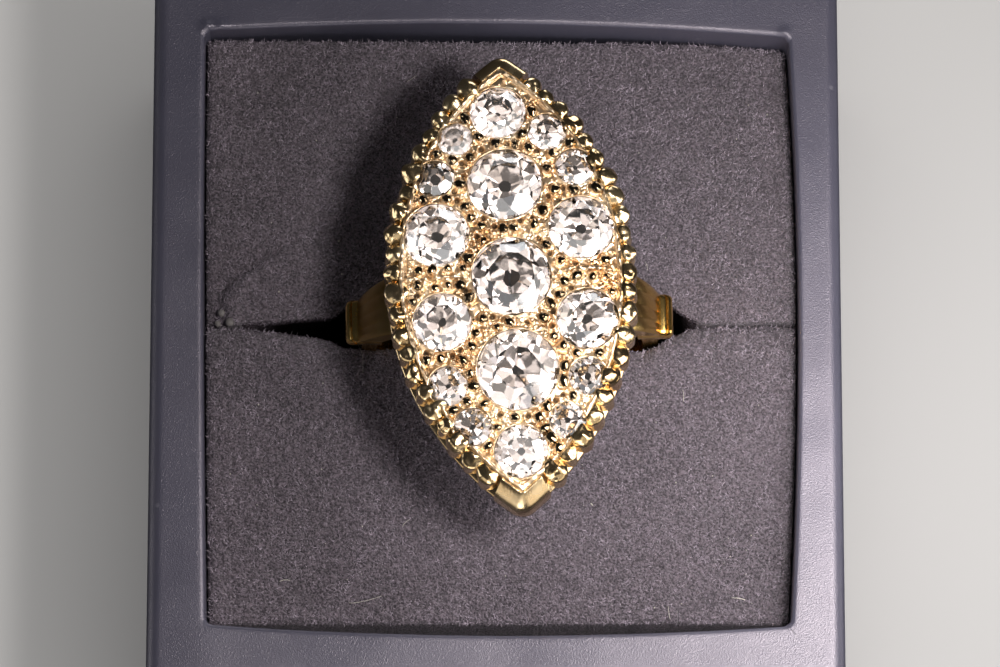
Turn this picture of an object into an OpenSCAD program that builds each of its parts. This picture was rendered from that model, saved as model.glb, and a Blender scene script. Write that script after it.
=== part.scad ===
// Navette cluster ring with old-cut stones, standing in the slot of an open ring box.
// The box stands on z = 0, centred on the origin; x runs across the box, y from its front to its back.

/* [Box] */
// Outer width of the box, across the slot's length
box_w = 45; // [44:0.5:50]
// Outer depth of the box, front to back
box_d = 47; // [46:0.5:52]
// Height of the box base, table to rim
box_h = 24; // [23.5:0.5:26]
// Width of the opening at its corners
opening_w = 38.2; // [37:0.1:39]
// Depth of the opening at its corners
opening_d = 39.8; // [38.5:0.1:40.5]
// How far each side of the opening bows outwards at its middle
side_bow = 0.6; // [0.3:0.1:0.9]
// How far the front and the back of the opening bow outwards
end_bow = 0.8; // [0.3:0.1:1]
// Thickness of the floor
floor_t = 1.6; // [1.2:0.1:2.5]
// Rounding of the rim's outer edge
rim_round = 0.9; // [0.5:0.1:1.4]

/* [Pads] */
// Gap between a pad and the box
pad_clear = 0.3; // [0.2:0.05:0.5]
// Gap between the two pads where the slot is shut
slot_gap = 0.3; // [0.2:0.05:0.5]
// Distance of the slot behind the middle of the box
slot_y = 0.65; // [0:0.05:1]
// Depth of the pads' outer edges below the rim
pad_edge_drop = 4.4; // [3.6:0.1:5]
// Depth of the pads below the rim beside the slot
pad_crown_drop = 1.5; // [1.2:0.1:2.2]
// Radius of the rolled edge along the slot
slot_roll = 1.5; // [1:0.1:2]
// Radius of the pads' other top edges
edge_roll = 1.8; // [1:0.1:2.4]
// How far the slot gapes to the left of the ring's middle
slot_left = 17.6; // [15:0.1:18]
// How far the slot gapes to the right of the ring's middle
slot_right = 11.8; // [11.5:0.1:14]
// Gap between the pads and the shank
slot_clear = 0.2; // [0.1:0.05:0.4]

/* [Shank] */
// Inner diameter of the shank, the finger's size
finger_d = 17.4; // [16.8:0.1:17.8]
// Thickness of the shank at the bottom
shank_t = 1.3; // [1.1:0.05:1.5]
// Width of the shank along the finger
shank_w = 2.6; // [2.4:0.1:2.8]
// Middle of the ring, to the right of the box's middle
ring_x = 0.8; // [0.4:0.1:1]
// Middle of the ring, behind the box's middle
ring_y = 0.6; // [0.4:0.05:0.9]
// Height of the finger hole's axis above the table
ring_z = 22.1; // [21.9:0.1:22.3]
// Turn of the ring in its slot, seen from above
ring_turn = 1.2; // [0:0.1:2]

/* [Shoulders] */
// Reach of the stepped collars from the ring's middle
step_reach = 10.66; // [10.4:0.02:10.8]
// Height of the collars' lower face above the ring's axis
step_z = 1.9; // [1.6:0.1:2.4]
// Height of the collars
step_h = 1.2; // [1:0.1:1.4]
// Width of the shoulders at the collars
fan_low_w = 2.7; // [2.6:0.1:3]
// Width of the shoulders under the head
fan_high_w = 4.8; // [4.2:0.1:6]
// Number of flutes cut in each shoulder
fan_flutes = 4; // [3:1:5]

/* [Head] */
// Width of the head over its scalloped border
head_w = 16.2; // [16:0.1:16.4]
// Length of the head, tip to tip
head_l = 30.4; // [30:0.1:30.8]
// Thickness of the head at its border
head_t = 2.2; // [2:0.1:2.4]
// Radius of the head's dome
dome_r = 75; // [70:1:85]
// How far the border flares outwards from the plate down to its foot
flare = 0.55; // [0.4:0.05:0.7]
// Height of the plate's middle above the ring's axis
head_z = 12.5; // [12.3:0.1:12.6]
// How far the head sits to the right of the shank's middle
head_shift_x = 0.12; // [0:0.02:0.2]
// How far the head sits behind the shank's middle
head_shift_y = 0.35; // [0:0.05:0.5]
// Turn of the head on the shank, seen from above
head_turn = 1.7; // [0:0.1:2.5]
// Lobes along each long side of the border
lobes = 22; // [20:1:24]
// Radius of a lobe
lobe_r = 0.7; // [0.66:0.01:0.74]
// Width of the plain caps at the two tips
cap_w = 4; // [3.6:0.1:4.4]
// Width of the raised thread round the plate
thread_w = 0.3; // [0.2:0.05:0.4]
// Height of the raised thread over the plate
thread_h = 0.15; // [0.1:0.05:0.2]
// Height of the plain foot under the lobes
foot_h = 0.4; // [0.3:0.05:0.5]
// How far the foot sits to the left of the lobes
foot_shift = 0.2; // [0.18:0.01:0.25]

/* [Stones] */
// Gap between a stone and its seat
seat_gap = 0.08; // [0.06:0.01:0.12]
// Depth of the girdles below the plate's surface
girdle_sink = 0.12; // [0.05:0.01:0.2]
// Table width as a share of the stone's width
table_share = 0.5; // [0.4:0.01:0.6]
// Crown height as a share of the stone's width
crown_share = 0.17; // [0.14:0.01:0.2]
// Pavilion depth as a share of the stone's width
pavilion_share = 0.385; // [0.36:0.005:0.4]
// Culet width as a share of the stone's width
culet_share = 0.15; // [0.08:0.01:0.16]
// Girdle thickness as a share of the stone's width
girdle_share = 0.03; // [0.02:0.01:0.05]
// Radius of a grain that holds the stones
grain_r = 0.34; // [0.3:0.01:0.38]

/* [Hidden] */
$fn = 48;

// One row for each stone: [across, along, half width, half length, turn], on the plate in millimetres
ACROSS = 0;
ALONG = 1;
HALF_W = 2;
HALF_L = 3;
TURN = 4;
stones = [
    [-0.30, 10.90, 1.82, 1.78, 8],
    [-3.15, 9.20, 1.13, 1.15, 3],
    [2.80, 9.45, 1.28, 1.24, 17],
    [-4.55, 6.60, 1.28, 1.18, 11],
    [4.45, 6.95, 1.28, 1.20, 5],
    [-0.10, 5.95, 2.45, 2.40, 14],
    [-4.65, 2.80, 2.12, 2.10, 2],
    [4.62, 2.85, 2.12, 2.12, 19],
    [0.00, -0.20, 2.58, 2.62, 9],
    [-4.55, -2.95, 1.94, 1.92, 13],
    [4.70, -3.15, 2.00, 1.92, 4],
    [0.10, -6.25, 2.62, 2.66, 16],
    [-4.40, -7.05, 1.30, 1.28, 7],
    [4.55, -6.85, 1.24, 1.28, 12],
    [-2.95, -9.75, 1.24, 1.18, 1],
    [3.10, -9.60, 1.20, 1.20, 18],
    [0.05, -11.45, 1.74, 1.68, 6]
];

// Pairs of neighbours, counted from 1. A grain sits in each of the two corners between them,
// and one more beyond each corner where there is room.
neighbours = [
    [1, 2], [1, 3], [1, 6], [2, 4], [2, 6], [3, 5], [3, 6], [4, 7], [4, 6], [5, 8], [5, 6],
    [6, 7], [6, 8], [7, 9], [8, 9], [6, 9], [7, 10], [8, 11], [9, 10], [9, 11], [9, 12],
    [10, 12], [11, 12], [10, 13], [11, 14], [12, 13], [12, 14], [13, 15], [14, 16],
    [12, 15], [12, 16], [15, 17], [16, 17], [12, 17]
];

// The two raised bars on the plate: [across, along, half length]
bars = [[-4.85, -0.05, 1.85], [5.0, 0.1, 1.6]];
bar_r = 0.22;

// The grains: how high their middles stand, and the room that they keep
grain_lift = 0.12;
grain_spare = 0.02;
grain_step = 0.3;
grain_bite = 0.05;
thread_room = 0.45;
bar_clear = 0.35;
grain_pitch = 2.06 * grain_r;

far = 40;
round_fn = 180;
dome_fn = 240;
bow_fn = 720;

// The navette's outline is two arcs that meet at the tips
half_w = head_w / 2;
half_l = head_l / 2;
arc_r = (half_w * half_w + half_l * half_l) / (2 * half_w);
arc_shift = arc_r - half_w;
notch_depth = 0.45;
core_r = arc_r - notch_depth;
plate_r = core_r - flare + 0.2;
lobe_axis_r = arc_r - lobe_r;
lobe_lean = atan(flare / head_t);
lobe_drop = 0.85;
lobe_l = 4;
lobe_vary = 0.03;
foot_r = arc_r - 0.05;
cap_angle = acos((arc_shift + cap_w / 2) / arc_r);
lobe_pitch = 2 * cap_angle / lobes;
cap_foot = 12;
cap_drop = 0.5;
tip_blunt = 0.25;
side_h = 3;
head_low = -head_t - side_h;

// A seat's open back: how much wider than the culet it is, and how deep it is cut
back_share = 0.25;
seat_l = 4.6;

shank_in = finger_d / 2;
shank_out = shank_in + shank_t;
shank_crown = 0.45;
shoulder_top = head_z - head_t + 0.25;
shoulder_out = 10.3;
shoulder_rise = 0.2;
flute_r = 0.35;
flute_l = 9;
flute_lean = 25;
flute_out = 0.05;

function stone_name(i) = str("stone_", i < 10 ? "0" : "", i);
function stone_r(i) = max(stones[i][HALF_W], stones[i][HALF_L]);
function drop(x, y) = dome_r - sqrt(dome_r * dome_r - x * x - y * y);

// Points along an arc in a plane, from angle a to angle b
function arc(cx, cy, r, a, b, n = 10) =
    [for (i = [0:n]) let (t = a + (b - a) * i / n) [cx + r * cos(t), cy + r * sin(t)]];

// Stands its children on the dome at (x, y), square to the surface
module on_dome(x, y) {
    lean = acos(sqrt(1 - (x * x + y * y) / (dome_r * dome_r)));
    translate([0, 0, -dome_r]) rotate(a = lean, v = [-y, x, 0]) translate([0, 0, dome_r]) children();
}

// The frame of the ring: its finger hole's axis runs along y
module ring_pose() {
    translate([ring_x, ring_y, ring_z]) rotate([0, 0, ring_turn]) children();
}

// The frame of the head: z = 0 at the middle of the plate
module head_pose() {
    ring_pose() translate([head_shift_x, head_shift_y, head_z]) rotate([0, 0, head_turn]) children();
}

// Navette block between two upright cones, from radius foot_r at the foot to top_r at the plate
module navette(foot_r, top_r) {
    slope = (foot_r - top_r) / head_t;
    low_r = foot_r + slope * side_h;
    high_r = top_r - slope;
    intersection_for (side = [-1, 1])
        translate([side * arc_shift, 0, head_low])
            cylinder(r1 = low_r, r2 = high_r, h = 1 - head_low, $fn = round_fn);
}

// All that lies under the dome raised by a height
module under_dome(height) {
    translate([0, 0, -dome_r]) sphere(r = dome_r + height, $fn = dome_fn);
}

module lobe(angle, side, r) {
    x = side * (lobe_axis_r * cos(angle) - arc_shift);
    y = lobe_axis_r * sin(angle);
    outwards = side > 0 ? angle : 180 - angle;
    translate([x, y, -drop(x, y) - head_t]) rotate([0, 0, outwards]) rotate([0, -lobe_lean, 0])
        translate([0, 0, head_t - lobe_drop]) rotate_extrude() {
            intersection() {
                circle(r);
                square(r);
            }
            translate([0, -lobe_l]) square([r, lobe_l]);
        }
}

module border() {
    for (side = [-1, 1], i = [0:lobes - 1]) {
        angle = -cap_angle + (i + 0.5) * lobe_pitch;
        lobe(angle, side, lobe_r + lobe_vary * sin(i * 137 + side * 50));
    }
    intersection() {
        navette(arc_r, arc_r - flare);
        for (end = [-1, 1])
            translate([-cap_w / 2, end > 0 ? cap_foot : -far, head_low]) cube([cap_w, far - cap_foot, far]);
        under_dome(-cap_drop);
    }
}

module foot() {
    intersection() {
        translate([-foot_shift, 0, 0]) navette(foot_r, foot_r);
        under_dome(foot_h - head_t);
    }
}

module plate() {
    intersection() {
        navette(core_r, plate_r);
        under_dome(0);
    }
    difference() {
        intersection() {
            navette(core_r, plate_r);
            under_dome(thread_h);
        }
        navette(core_r - thread_w, plate_r - thread_w);
    }
}

// The room that a stone takes in the plate: a straight wall, a cone under the girdle and an open back
module seat(i) {
    r = stone_r(i);
    wall_r = r + seat_gap;
    sink = girdle_sink + 2 * r * girdle_share + seat_gap;
    depth = 2 * r * pavilion_share;
    hole_r = r * (culet_share + back_share) + seat_gap;
    cone_h = depth * (wall_r - hole_r) / (r * (1 - culet_share));
    on_dome(stones[i][ACROSS], stones[i][ALONG]) rotate_extrude()
        polygon([[0, 2], [wall_r, 2], [wall_r, -sink], [hole_r, -sink - cone_h], [hole_r, -seat_l],
                 [0, -seat_l]]);
}

// Where the circles of radius a and b about two points cross, on one side
function crossing(p, q, a, b, side) =
    let (d = norm(q - p), u = (q - p) / d, along = (a * a - b * b + d * d) / (2 * d),
         out = sqrt(max(a * a - along * along, 0)))
    p + u * along + side * out * [-u[1], u[0]];
function place(i) = [stones[i][ACROSS], stones[i][ALONG]];
function grain_reach(i) = stone_r(i) + grain_r;
function room(p) = min([for (i = [0:len(stones) - 1]) norm(p - place(i)) - grain_reach(i)]);
function edge_room(p) = plate_r - norm([abs(p[0]) + arc_shift, p[1]]);
function bar_room(p) = min([for (b = bars) max(abs(p[0] - b[0]) - b[2], abs(p[1] - b[1]))]);
function between(a, b, side, further) =
    let (d = norm(place(a) - place(b)),
         spare = max(d - grain_reach(a) - grain_reach(b), 0) / 2 + grain_spare + further)
    crossing(place(a), place(b), grain_reach(a) + spare, grain_reach(b) + spare, side);

// The grains' places in order; one that would touch a stone, the thread, a bar or an earlier grain is left out
candidates = [
    for (further = [0, grain_step]) for (pair = neighbours) for (side = [-1, 1])
        let (p = between(pair[0] - 1, pair[1] - 1, side, further))
            if (room(p) > -grain_bite && edge_room(p) > thread_room && bar_room(p) > bar_clear) p
];
function clear_before(i) = min(concat([far], [for (j = [0:1:i - 1]) norm(candidates[i] - candidates[j])]));

module grains() {
    for (i = [0:len(candidates) - 1])
        if (clear_before(i) > grain_pitch)
            on_dome(candidates[i][0], candidates[i][1]) translate([0, 0, grain_lift]) sphere(grain_r);
}

// A raised bar across each side of the plate, between the middle stones
module bars() {
    for (b = bars) on_dome(b[0], b[1]) rotate([0, 90, 0]) cylinder(r = bar_r, h = 2 * b[2], center = true);
}

module head() {
    difference() {
        union() {
            plate();
            border();
            foot();
        }
        translate([0, 0, -dome_r]) sphere(r = dome_r - head_t, $fn = dome_fn);
        difference() {
            translate([0, 0, head_low - 1]) cylinder(r = far, h = far);
            translate([0, 0, head_low - 2]) cylinder(r = half_l - tip_blunt, h = far + 4, $fn = round_fn);
        }
    }
}

// The shank is a band with a crowned outside
module shank() {
    rotate([90, 0, 0]) rotate_extrude($fn = round_fn) intersection() {
        translate([shank_in, -shank_w / 2]) square([shank_t + 1, shank_w]);
        translate([shank_out - crown_r(), 0]) circle(crown_r(), $fn = round_fn);
    }
}
function crown_r() = (shank_crown * shank_crown + shank_w * shank_w / 4) / (2 * shank_crown);

// A shoulder spreads like a fan from its stepped collar up to the head
module shoulder(side) {
    low = step_z + step_h / 2;
    mirror([side < 0 ? 1 : 0, 0, 0]) {
        difference() {
            intersection() {
                translate([0, 0, shoulder_rise]) rotate([90, 0, 0])
                    cylinder(r = shoulder_out, h = fan_high_w + 2, center = true, $fn = round_fn);
                rotate([90, 0, 90]) linear_extrude(shoulder_out + 1)
                    polygon([[-fan_low_w / 2, low], [fan_low_w / 2, low], [fan_high_w / 2, shoulder_top],
                             [-fan_high_w / 2, shoulder_top]]);
            }
            for (k = [0:fan_flutes - 1]) {
                share = (k + 0.5) / fan_flutes - 0.5;
                spread = atan((fan_high_w - fan_low_w) * share / (shoulder_top - low));
                translate([shoulder_out + flute_out, share * fan_low_w, low]) rotate([-spread, -flute_lean, 0])
                    translate([0, 0, -1]) cylinder(r = flute_r, h = flute_l);
            }
        }
        translate([shank_in - 1, -fan_low_w / 2, step_z]) cube([step_reach - shank_in + 1, fan_low_w, step_h]);
    }
}

module gold_mount() {
    color("goldenrod") {
        difference() {
            union() {
                head_pose() head();
                ring_pose() {
                    shank();
                    shoulder(-1);
                    shoulder(1);
                }
            }
            ring_pose() rotate([90, 0, 0]) cylinder(r = shank_in, h = 2 * far, center = true, $fn = round_fn);
            head_pose() for (i = [0:len(stones) - 1]) seat(i);
        }
        head_pose() {
            grains();
            bars();
        }
    }
}

// Old-cut stone of half width 1 over its girdle, table up, girdle's top at z = 0
module cut_stone(r, aspect) {
    table_r = r * table_share / cos(22.5);
    crown_h = 2 * r * crown_share;
    girdle_h = 2 * r * girdle_share;
    deep = 2 * r * pavilion_share;
    culet_r = r * culet_share;
    star_r = 0.51 * (table_r + r);
    star_z = crown_h * (r - star_r * cos(22.5)) / (r - table_r);
    low_r = 0.62 * r;
    low_z = -girdle_h - deep * (r - low_r * cos(22.5)) / (r - culet_r * cos(22.5));
    at = function (radius, angle, z) [radius * cos(angle), radius * sin(angle) * aspect, z];
    points = concat(
        [for (i = [0:7]) at(table_r, 45 * i, crown_h)],
        [for (i = [0:7]) at(star_r, 45 * i + 22.5, star_z)],
        [for (j = [0:15]) at(r, 22.5 * j, 0)],
        [for (j = [0:15]) at(r, 22.5 * j, -girdle_h)],
        [for (i = [0:7]) at(low_r, 45 * i + 22.5, low_z)],
        [for (i = [0:7]) at(culet_r, 45 * i + 22.5, -girdle_h - deep)]
    );
    table = function (i) i % 8;
    star = function (i) 8 + i % 8;
    top = function (j) 16 + j % 16;
    foot = function (j) 32 + j % 16;
    low = function (i) 48 + i % 8;
    culet = function (i) 56 + i % 8;
    faces = concat(
        [[for (i = [7:-1:0]) table(i)]],
        [for (i = [0:7]) [table(i), table(i + 1), star(i)]],
        [for (i = [0:7]) [table(i), star(i), top(2 * i), star(i + 7)]],
        [for (i = [0:7]) [star(i), top(2 * i + 1), top(2 * i)]],
        [for (i = [0:7]) [star(i), top(2 * i + 2), top(2 * i + 1)]],
        [for (j = [0:15]) [top(j), top(j + 1), foot(j + 1), foot(j)]],
        [for (i = [0:7]) [foot(2 * i), foot(2 * i + 1), low(i)]],
        [for (i = [0:7]) [foot(2 * i + 1), foot(2 * i + 2), low(i)]],
        [for (i = [0:7]) [foot(2 * i), low(i), culet(i), culet(i + 7), low(i + 7)]],
        [[for (i = [0:7]) culet(i)]]
    );
    polyhedron(points, faces);
}

module stone(i) {
    row = stones[i];
    color("aliceblue") head_pose() on_dome(row[ACROSS], row[ALONG]) translate([0, 0, -girdle_sink])
        rotate([0, 0, row[TURN]]) cut_stone(row[HALF_W], row[HALF_L] / row[HALF_W]);
}

// Plan of the box's opening, let in by a margin: four shallow arcs
module opening_plan(margin) {
    side_r = bow_r(opening_d / 2, side_bow);
    end_r = bow_r(opening_w / 2, end_bow);
    intersection_for (side = [-1, 1]) {
        intersection() {
            translate([side * (side_r - opening_w / 2 - side_bow), 0]) circle(side_r - margin, $fn = bow_fn);
            translate([0, side * (end_r - opening_d / 2 - end_bow)]) circle(end_r - margin, $fn = bow_fn);
        }
    }
}
function bow_r(half_chord, bow) = (half_chord * half_chord + bow * bow) / (2 * bow);

// Upright section of a block as wide as w, with rolled top edges
function rolled_section(w, high, r) =
    concat([[-w / 2, 0], [w / 2, 0]], arc(w / 2 - r, high - r, r, 0, 90), arc(r - w / 2, high - r, r, 90, 180));

module along_x(length) {
    rotate([90, 0, 90]) linear_extrude(length, center = true) children();
}
module along_y(length) {
    rotate([90, 0, 0]) linear_extrude(length, center = true) children();
}

// An open box base with a rolled rim
module box_shell() {
    color("slategray") difference() {
        intersection() {
            along_y(2 * box_d) polygon(rolled_section(box_w, box_h, rim_round));
            along_x(2 * box_w) polygon(rolled_section(box_d, box_h, rim_round));
        }
        translate([0, 0, floor_t]) linear_extrude(box_h) opening_plan(0);
    }
}

// Section of the back pad from the slot to the wall
function pad_section(slot_face, wall_face) =
    let (crown = box_h - pad_crown_drop, edge = box_h - pad_edge_drop)
    concat([[wall_face, 0], [slot_face, 0]], arc(slot_face + slot_roll, crown - slot_roll, slot_roll, 180, 90),
           arc(wall_face - edge_roll, edge, edge_roll, 90, 0));

// One pad: side is 1 behind the slot and -1 in front of it
module pad(side) {
    slot_face = side * slot_y + slot_gap / 2;
    wall_face = opening_d / 2 + end_bow - pad_clear;
    span = opening_w + 2 * side_bow - 2 * pad_clear;
    difference() {
        intersection() {
            translate([0, 0, floor_t + 0.1]) linear_extrude(box_h) opening_plan(pad_clear);
            mirror([0, side < 0 ? 1 : 0, 0]) along_x(2 * box_w) polygon(pad_section(slot_face, wall_face));
            along_y(2 * box_d) polygon(rolled_section(span, box_h - pad_crown_drop, edge_roll));
        }
        shank_slot();
    }
}

// The slot gapes round the shank and tapers shut on both sides of it
module shank_slot() {
    gape = shank_w / 2 + slot_clear;
    reach = shank_out + slot_clear;
    ring_pose() translate([0, 0, -shank_out - 0.3]) linear_extrude(far)
        polygon([[-slot_left, 0], [-reach, gape], [reach, gape], [slot_right, 0], [reach, -gape], [-reach, -gape]]);
}

module pad_back() {
    color("dimgray") pad(1);
}

module pad_front() {
    color("dimgray") pad(-1);
}

gold_mount();
box_shell();
pad_back();
pad_front();
for (i = [0:len(stones) - 1]) stone(i);
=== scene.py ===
import math

import bmesh
import bpy
import numpy as np
from mathutils import Matrix, Vector


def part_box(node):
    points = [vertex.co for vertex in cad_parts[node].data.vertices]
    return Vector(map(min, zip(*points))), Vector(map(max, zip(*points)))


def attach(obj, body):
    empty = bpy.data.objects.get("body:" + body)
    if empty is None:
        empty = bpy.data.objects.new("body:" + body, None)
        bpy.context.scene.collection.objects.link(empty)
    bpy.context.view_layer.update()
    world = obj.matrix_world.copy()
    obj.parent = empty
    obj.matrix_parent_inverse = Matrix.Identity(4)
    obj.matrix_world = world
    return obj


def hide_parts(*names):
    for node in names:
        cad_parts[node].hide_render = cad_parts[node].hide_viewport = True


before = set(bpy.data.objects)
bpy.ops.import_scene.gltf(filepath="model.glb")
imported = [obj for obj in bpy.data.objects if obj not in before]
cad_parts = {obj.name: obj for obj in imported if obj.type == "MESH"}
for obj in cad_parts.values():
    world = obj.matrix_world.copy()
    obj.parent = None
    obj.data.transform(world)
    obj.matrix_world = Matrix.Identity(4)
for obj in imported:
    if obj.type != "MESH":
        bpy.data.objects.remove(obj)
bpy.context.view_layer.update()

mm = 0.001

# where the ring stands in its box, in millimetres and degrees, as in the solids
place = {
    "ring": (0.8, 0.6, 22.1),
    "ringTurn": 1.2,
    "head": (0.12, 0.35, 12.5),
    "headTurn": 1.7,
}
ringFrame = Matrix.Translation(place["ring"]) @ Matrix.Rotation(math.radians(place["ringTurn"]), 4, "Z")
headFrame = ringFrame @ Matrix.Translation(place["head"])
headFrame = headFrame @ Matrix.Rotation(math.radians(place["headTurn"]), 4, "Z")


def addObject(name, data):
    thing = bpy.data.objects.new(name, data)
    bpy.context.scene.collection.objects.link(thing)
    return thing


# camera first: it looks down from the front, at the angle of the photo
shot = {
    "at": (0.2, -101.96, 431.44),   # mm
    "tilt": 14,                     # degrees off the vertical
    "lens": 231.8,
}
camera = addObject("camera", bpy.data.cameras.new("camera"))
camera.location = Vector(shot["at"]) * mm
camera.rotation_euler = (math.radians(shot["tilt"]), 0, 0)
camera.data.lens = shot["lens"]
camera.data.sensor_width = 36
camera.data.clip_start = 0.01
camera.data.clip_end = 20
bpy.context.scene.camera = camera
print("camera ready")


# mesh helpers; a part is (points, [faces with as many corners each]), in millimetres
def joined(parts):
    points, faces, base = [], [], 0
    for partPoints, partFaces in parts:
        points.append(partPoints)
        faces += [f + base for f in partFaces]
        base += len(partPoints)
    return np.concatenate(points), faces


def moved(part, matrix):
    m = np.array(matrix)
    return part[0] @ m[:3, :3].T + m[:3, 3], part[1]


def gridFaces(rows, cols, closeRows=False, closeCols=False):
    r = np.arange(rows if closeRows else rows - 1)
    c = np.arange(cols if closeCols else cols - 1)
    r, c = np.meshgrid(r, c, indexing="ij")
    rNext, cNext = (r + 1) % rows, (c + 1) % cols
    corners = [r * cols + c, r * cols + cNext, rNext * cols + cNext, rNext * cols + c]
    return np.stack([k.ravel() for k in corners], 1)


def capFaces(ids, middle):
    return np.stack([ids, np.roll(ids, -1), np.full(len(ids), middle)], 1)


# rings is an array of rows of points; each row is a closed ring
def loft(rings, closeRows=False, capped=True):
    rows, cols = rings.shape[:2]
    points = rings.reshape(-1, 3)
    faces = [gridFaces(rows, cols, closeRows, True)]
    if capped and not closeRows:
        points = np.vstack([points, rings[0].mean(0), rings[-1].mean(0)])
        first, last = np.arange(cols), np.arange(cols) + (rows - 1) * cols
        faces += [capFaces(first, rows * cols), capFaces(last, rows * cols + 1)]
    return points, faces


def turned(profile, sides, wobble=None):
    # profile is [(radius, height), ...]; wobble scales the radius with the angle
    a = np.linspace(0, 2 * math.pi, sides, endpoint=False)
    w = np.ones(sides) if wobble is None else wobble(a)
    rings = [np.stack([r * w * np.cos(a), r * w * np.sin(a), np.full(sides, h)], 1) for r, h in profile]
    return loft(np.array(rings))


def makePiece(name, part, material, frameOf=None, sharp=None, facing=True):
    points, faces = moved(part, frameOf) if frameOf is not None else part
    mesh = bpy.data.meshes.new(name)
    sizes = np.concatenate([np.full(len(f), f.shape[1]) for f in faces])
    corners = np.concatenate([f.ravel() for f in faces]).astype(np.int32)
    mesh.vertices.add(len(points))
    mesh.vertices.foreach_set("co", (points * mm).astype(np.float32).ravel())
    mesh.loops.add(len(corners))
    mesh.loops.foreach_set("vertex_index", corners)
    mesh.polygons.add(len(sizes))
    starts = np.concatenate([[0], np.cumsum(sizes)[:-1]]).astype(np.int32)
    mesh.polygons.foreach_set("loop_start", starts)
    mesh.polygons.foreach_set("use_smooth", np.ones(len(sizes), bool))
    mesh.update(calc_edges=True)
    mesh.validate()
    if facing:
        bm = bmesh.new()
        bm.from_mesh(mesh)
        bmesh.ops.recalc_face_normals(bm, faces=bm.faces)
        bm.to_mesh(mesh)
        bm.free()
    if sharp:
        mesh.set_sharp_from_angle(angle=math.radians(sharp))
    piece = addObject(name, mesh)
    mesh.materials.append(material)
    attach(piece, "root")
    return piece


def storeMask(piece, name, values):
    attribute = piece.data.attributes.new(name, "FLOAT", "POINT")
    attribute.data.foreach_set("value", np.clip(values, 0, 1).astype(np.float32))


def dropLoose(piece):
    # takes out the grid points that no face uses
    bm = bmesh.new()
    bm.from_mesh(piece.data)
    bmesh.ops.delete(bm, geom=[v for v in bm.verts if not v.link_faces], context="VERTS")
    bm.to_mesh(piece.data)
    bm.free()


def smooth(low, high, value):
    t = np.clip((value - low) / (high - low), 0, 1)
    return t * t * (3 - 2 * t)


# value noise on a jittered lattice, for shapes that the photo shows as uneven
def waves(x, y, size, seed, layers=3):
    rng = np.random.default_rng(seed)
    total = np.zeros_like(x)
    for k in range(layers):
        grid = rng.random((64, 64)) * 2 - 1
        gx, gy = x / size * 2 ** k + 13.7, y / size * 2 ** k + 7.3
        ix, iy = np.floor(gx).astype(int), np.floor(gy).astype(int)
        fx, fy = smooth(0, 1, gx - ix), smooth(0, 1, gy - iy)
        a, b = grid[iy % 64, ix % 64], grid[iy % 64, (ix + 1) % 64]
        c, d = grid[(iy + 1) % 64, ix % 64], grid[(iy + 1) % 64, (ix + 1) % 64]
        total += ((a * (1 - fx) + b * fx) * (1 - fy) + (c * (1 - fx) + d * fx) * fy) / 2 ** k
    return total


# shader effects that several materials share
def newGroup(name, inputs, outputs):
    group = bpy.data.node_groups.new(name, "ShaderNodeTree")
    for label, value in inputs.items():
        socket = group.interface.new_socket(name=label, in_out="INPUT", socket_type="NodeSocketFloat")
        socket.default_value = value
    for label in outputs:
        group.interface.new_socket(name=label, in_out="OUTPUT", socket_type="NodeSocketFloat")
    return group, group.nodes.new("NodeGroupInput"), group.nodes.new("NodeGroupOutput")


def feed(tree, socket, value):
    # a socket takes a link or a plain value
    if isinstance(value, bpy.types.NodeSocket):
        tree.links.new(value, socket)
    else:
        socket.default_value = value


def addNode(tree, kind, settings=None, **inputs):
    node = tree.nodes.new(kind)
    for key, value in (settings or {}).items():
        setattr(node, key, value)
    for key, value in inputs.items():
        feed(tree, node.inputs[key], value)
    return node


def mathOut(tree, operation, *values, clamp=False):
    node = addNode(tree, "ShaderNodeMath", {"operation": operation, "use_clamp": clamp})
    for socket, value in zip(node.inputs, values):
        feed(tree, socket, value)
    return node.outputs[0]


def mapped(tree, value, span=(0, 1), to=(0, 1)):
    node = addNode(tree, "ShaderNodeMapRange", None, Value=value)
    for socket, end in zip(node.inputs[1:5], (*span, *to)):
        socket.default_value = end
    return node.outputs["Result"]


def objectPoint(tree):
    return addNode(tree, "ShaderNodeTexCoord").outputs["Object"]


def makeGrainGroup():
    # pitted leather-like or cast grain: a height and a mask of its hollows
    group, src, out = newGroup("pittedGrain", {"Scale": 1000, "Depth": 1}, ["Height", "Hollows"])
    point, scale = objectPoint(group), src.outputs["Scale"]
    cells = addNode(group, "ShaderNodeTexVoronoi", {"feature": "F1"}, Vector=point, Scale=scale)
    fine = addNode(group, "ShaderNodeTexNoise", None, Vector=point, Scale=scale, Detail=3.0)
    mixed = mathOut(group, "MULTIPLY_ADD", cells.outputs["Distance"], 0.6, fine.outputs["Fac"])
    feed(group, out.inputs["Height"], mathOut(group, "MULTIPLY", mixed, src.outputs["Depth"]))
    feed(group, out.inputs["Hollows"], mapped(group, mixed, span=(0.75, 0.45)))
    return group


def makeDriftGroup():
    # slow change of shade over the surface
    group, src, out = newGroup("slowDrift", {"Scale": 100, "Contrast": 1}, ["Factor"])
    point, scale = objectPoint(group), src.outputs["Scale"]
    noise = addNode(group, "ShaderNodeTexNoise", None, Vector=point, Scale=scale, Detail=4.0)
    centred = mathOut(group, "SUBTRACT", noise.outputs["Fac"], 0.5)
    scaled = mathOut(group, "MULTIPLY_ADD", centred, src.outputs["Contrast"], 0.5, clamp=True)
    feed(group, out.inputs["Factor"], scaled)
    return group


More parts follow.
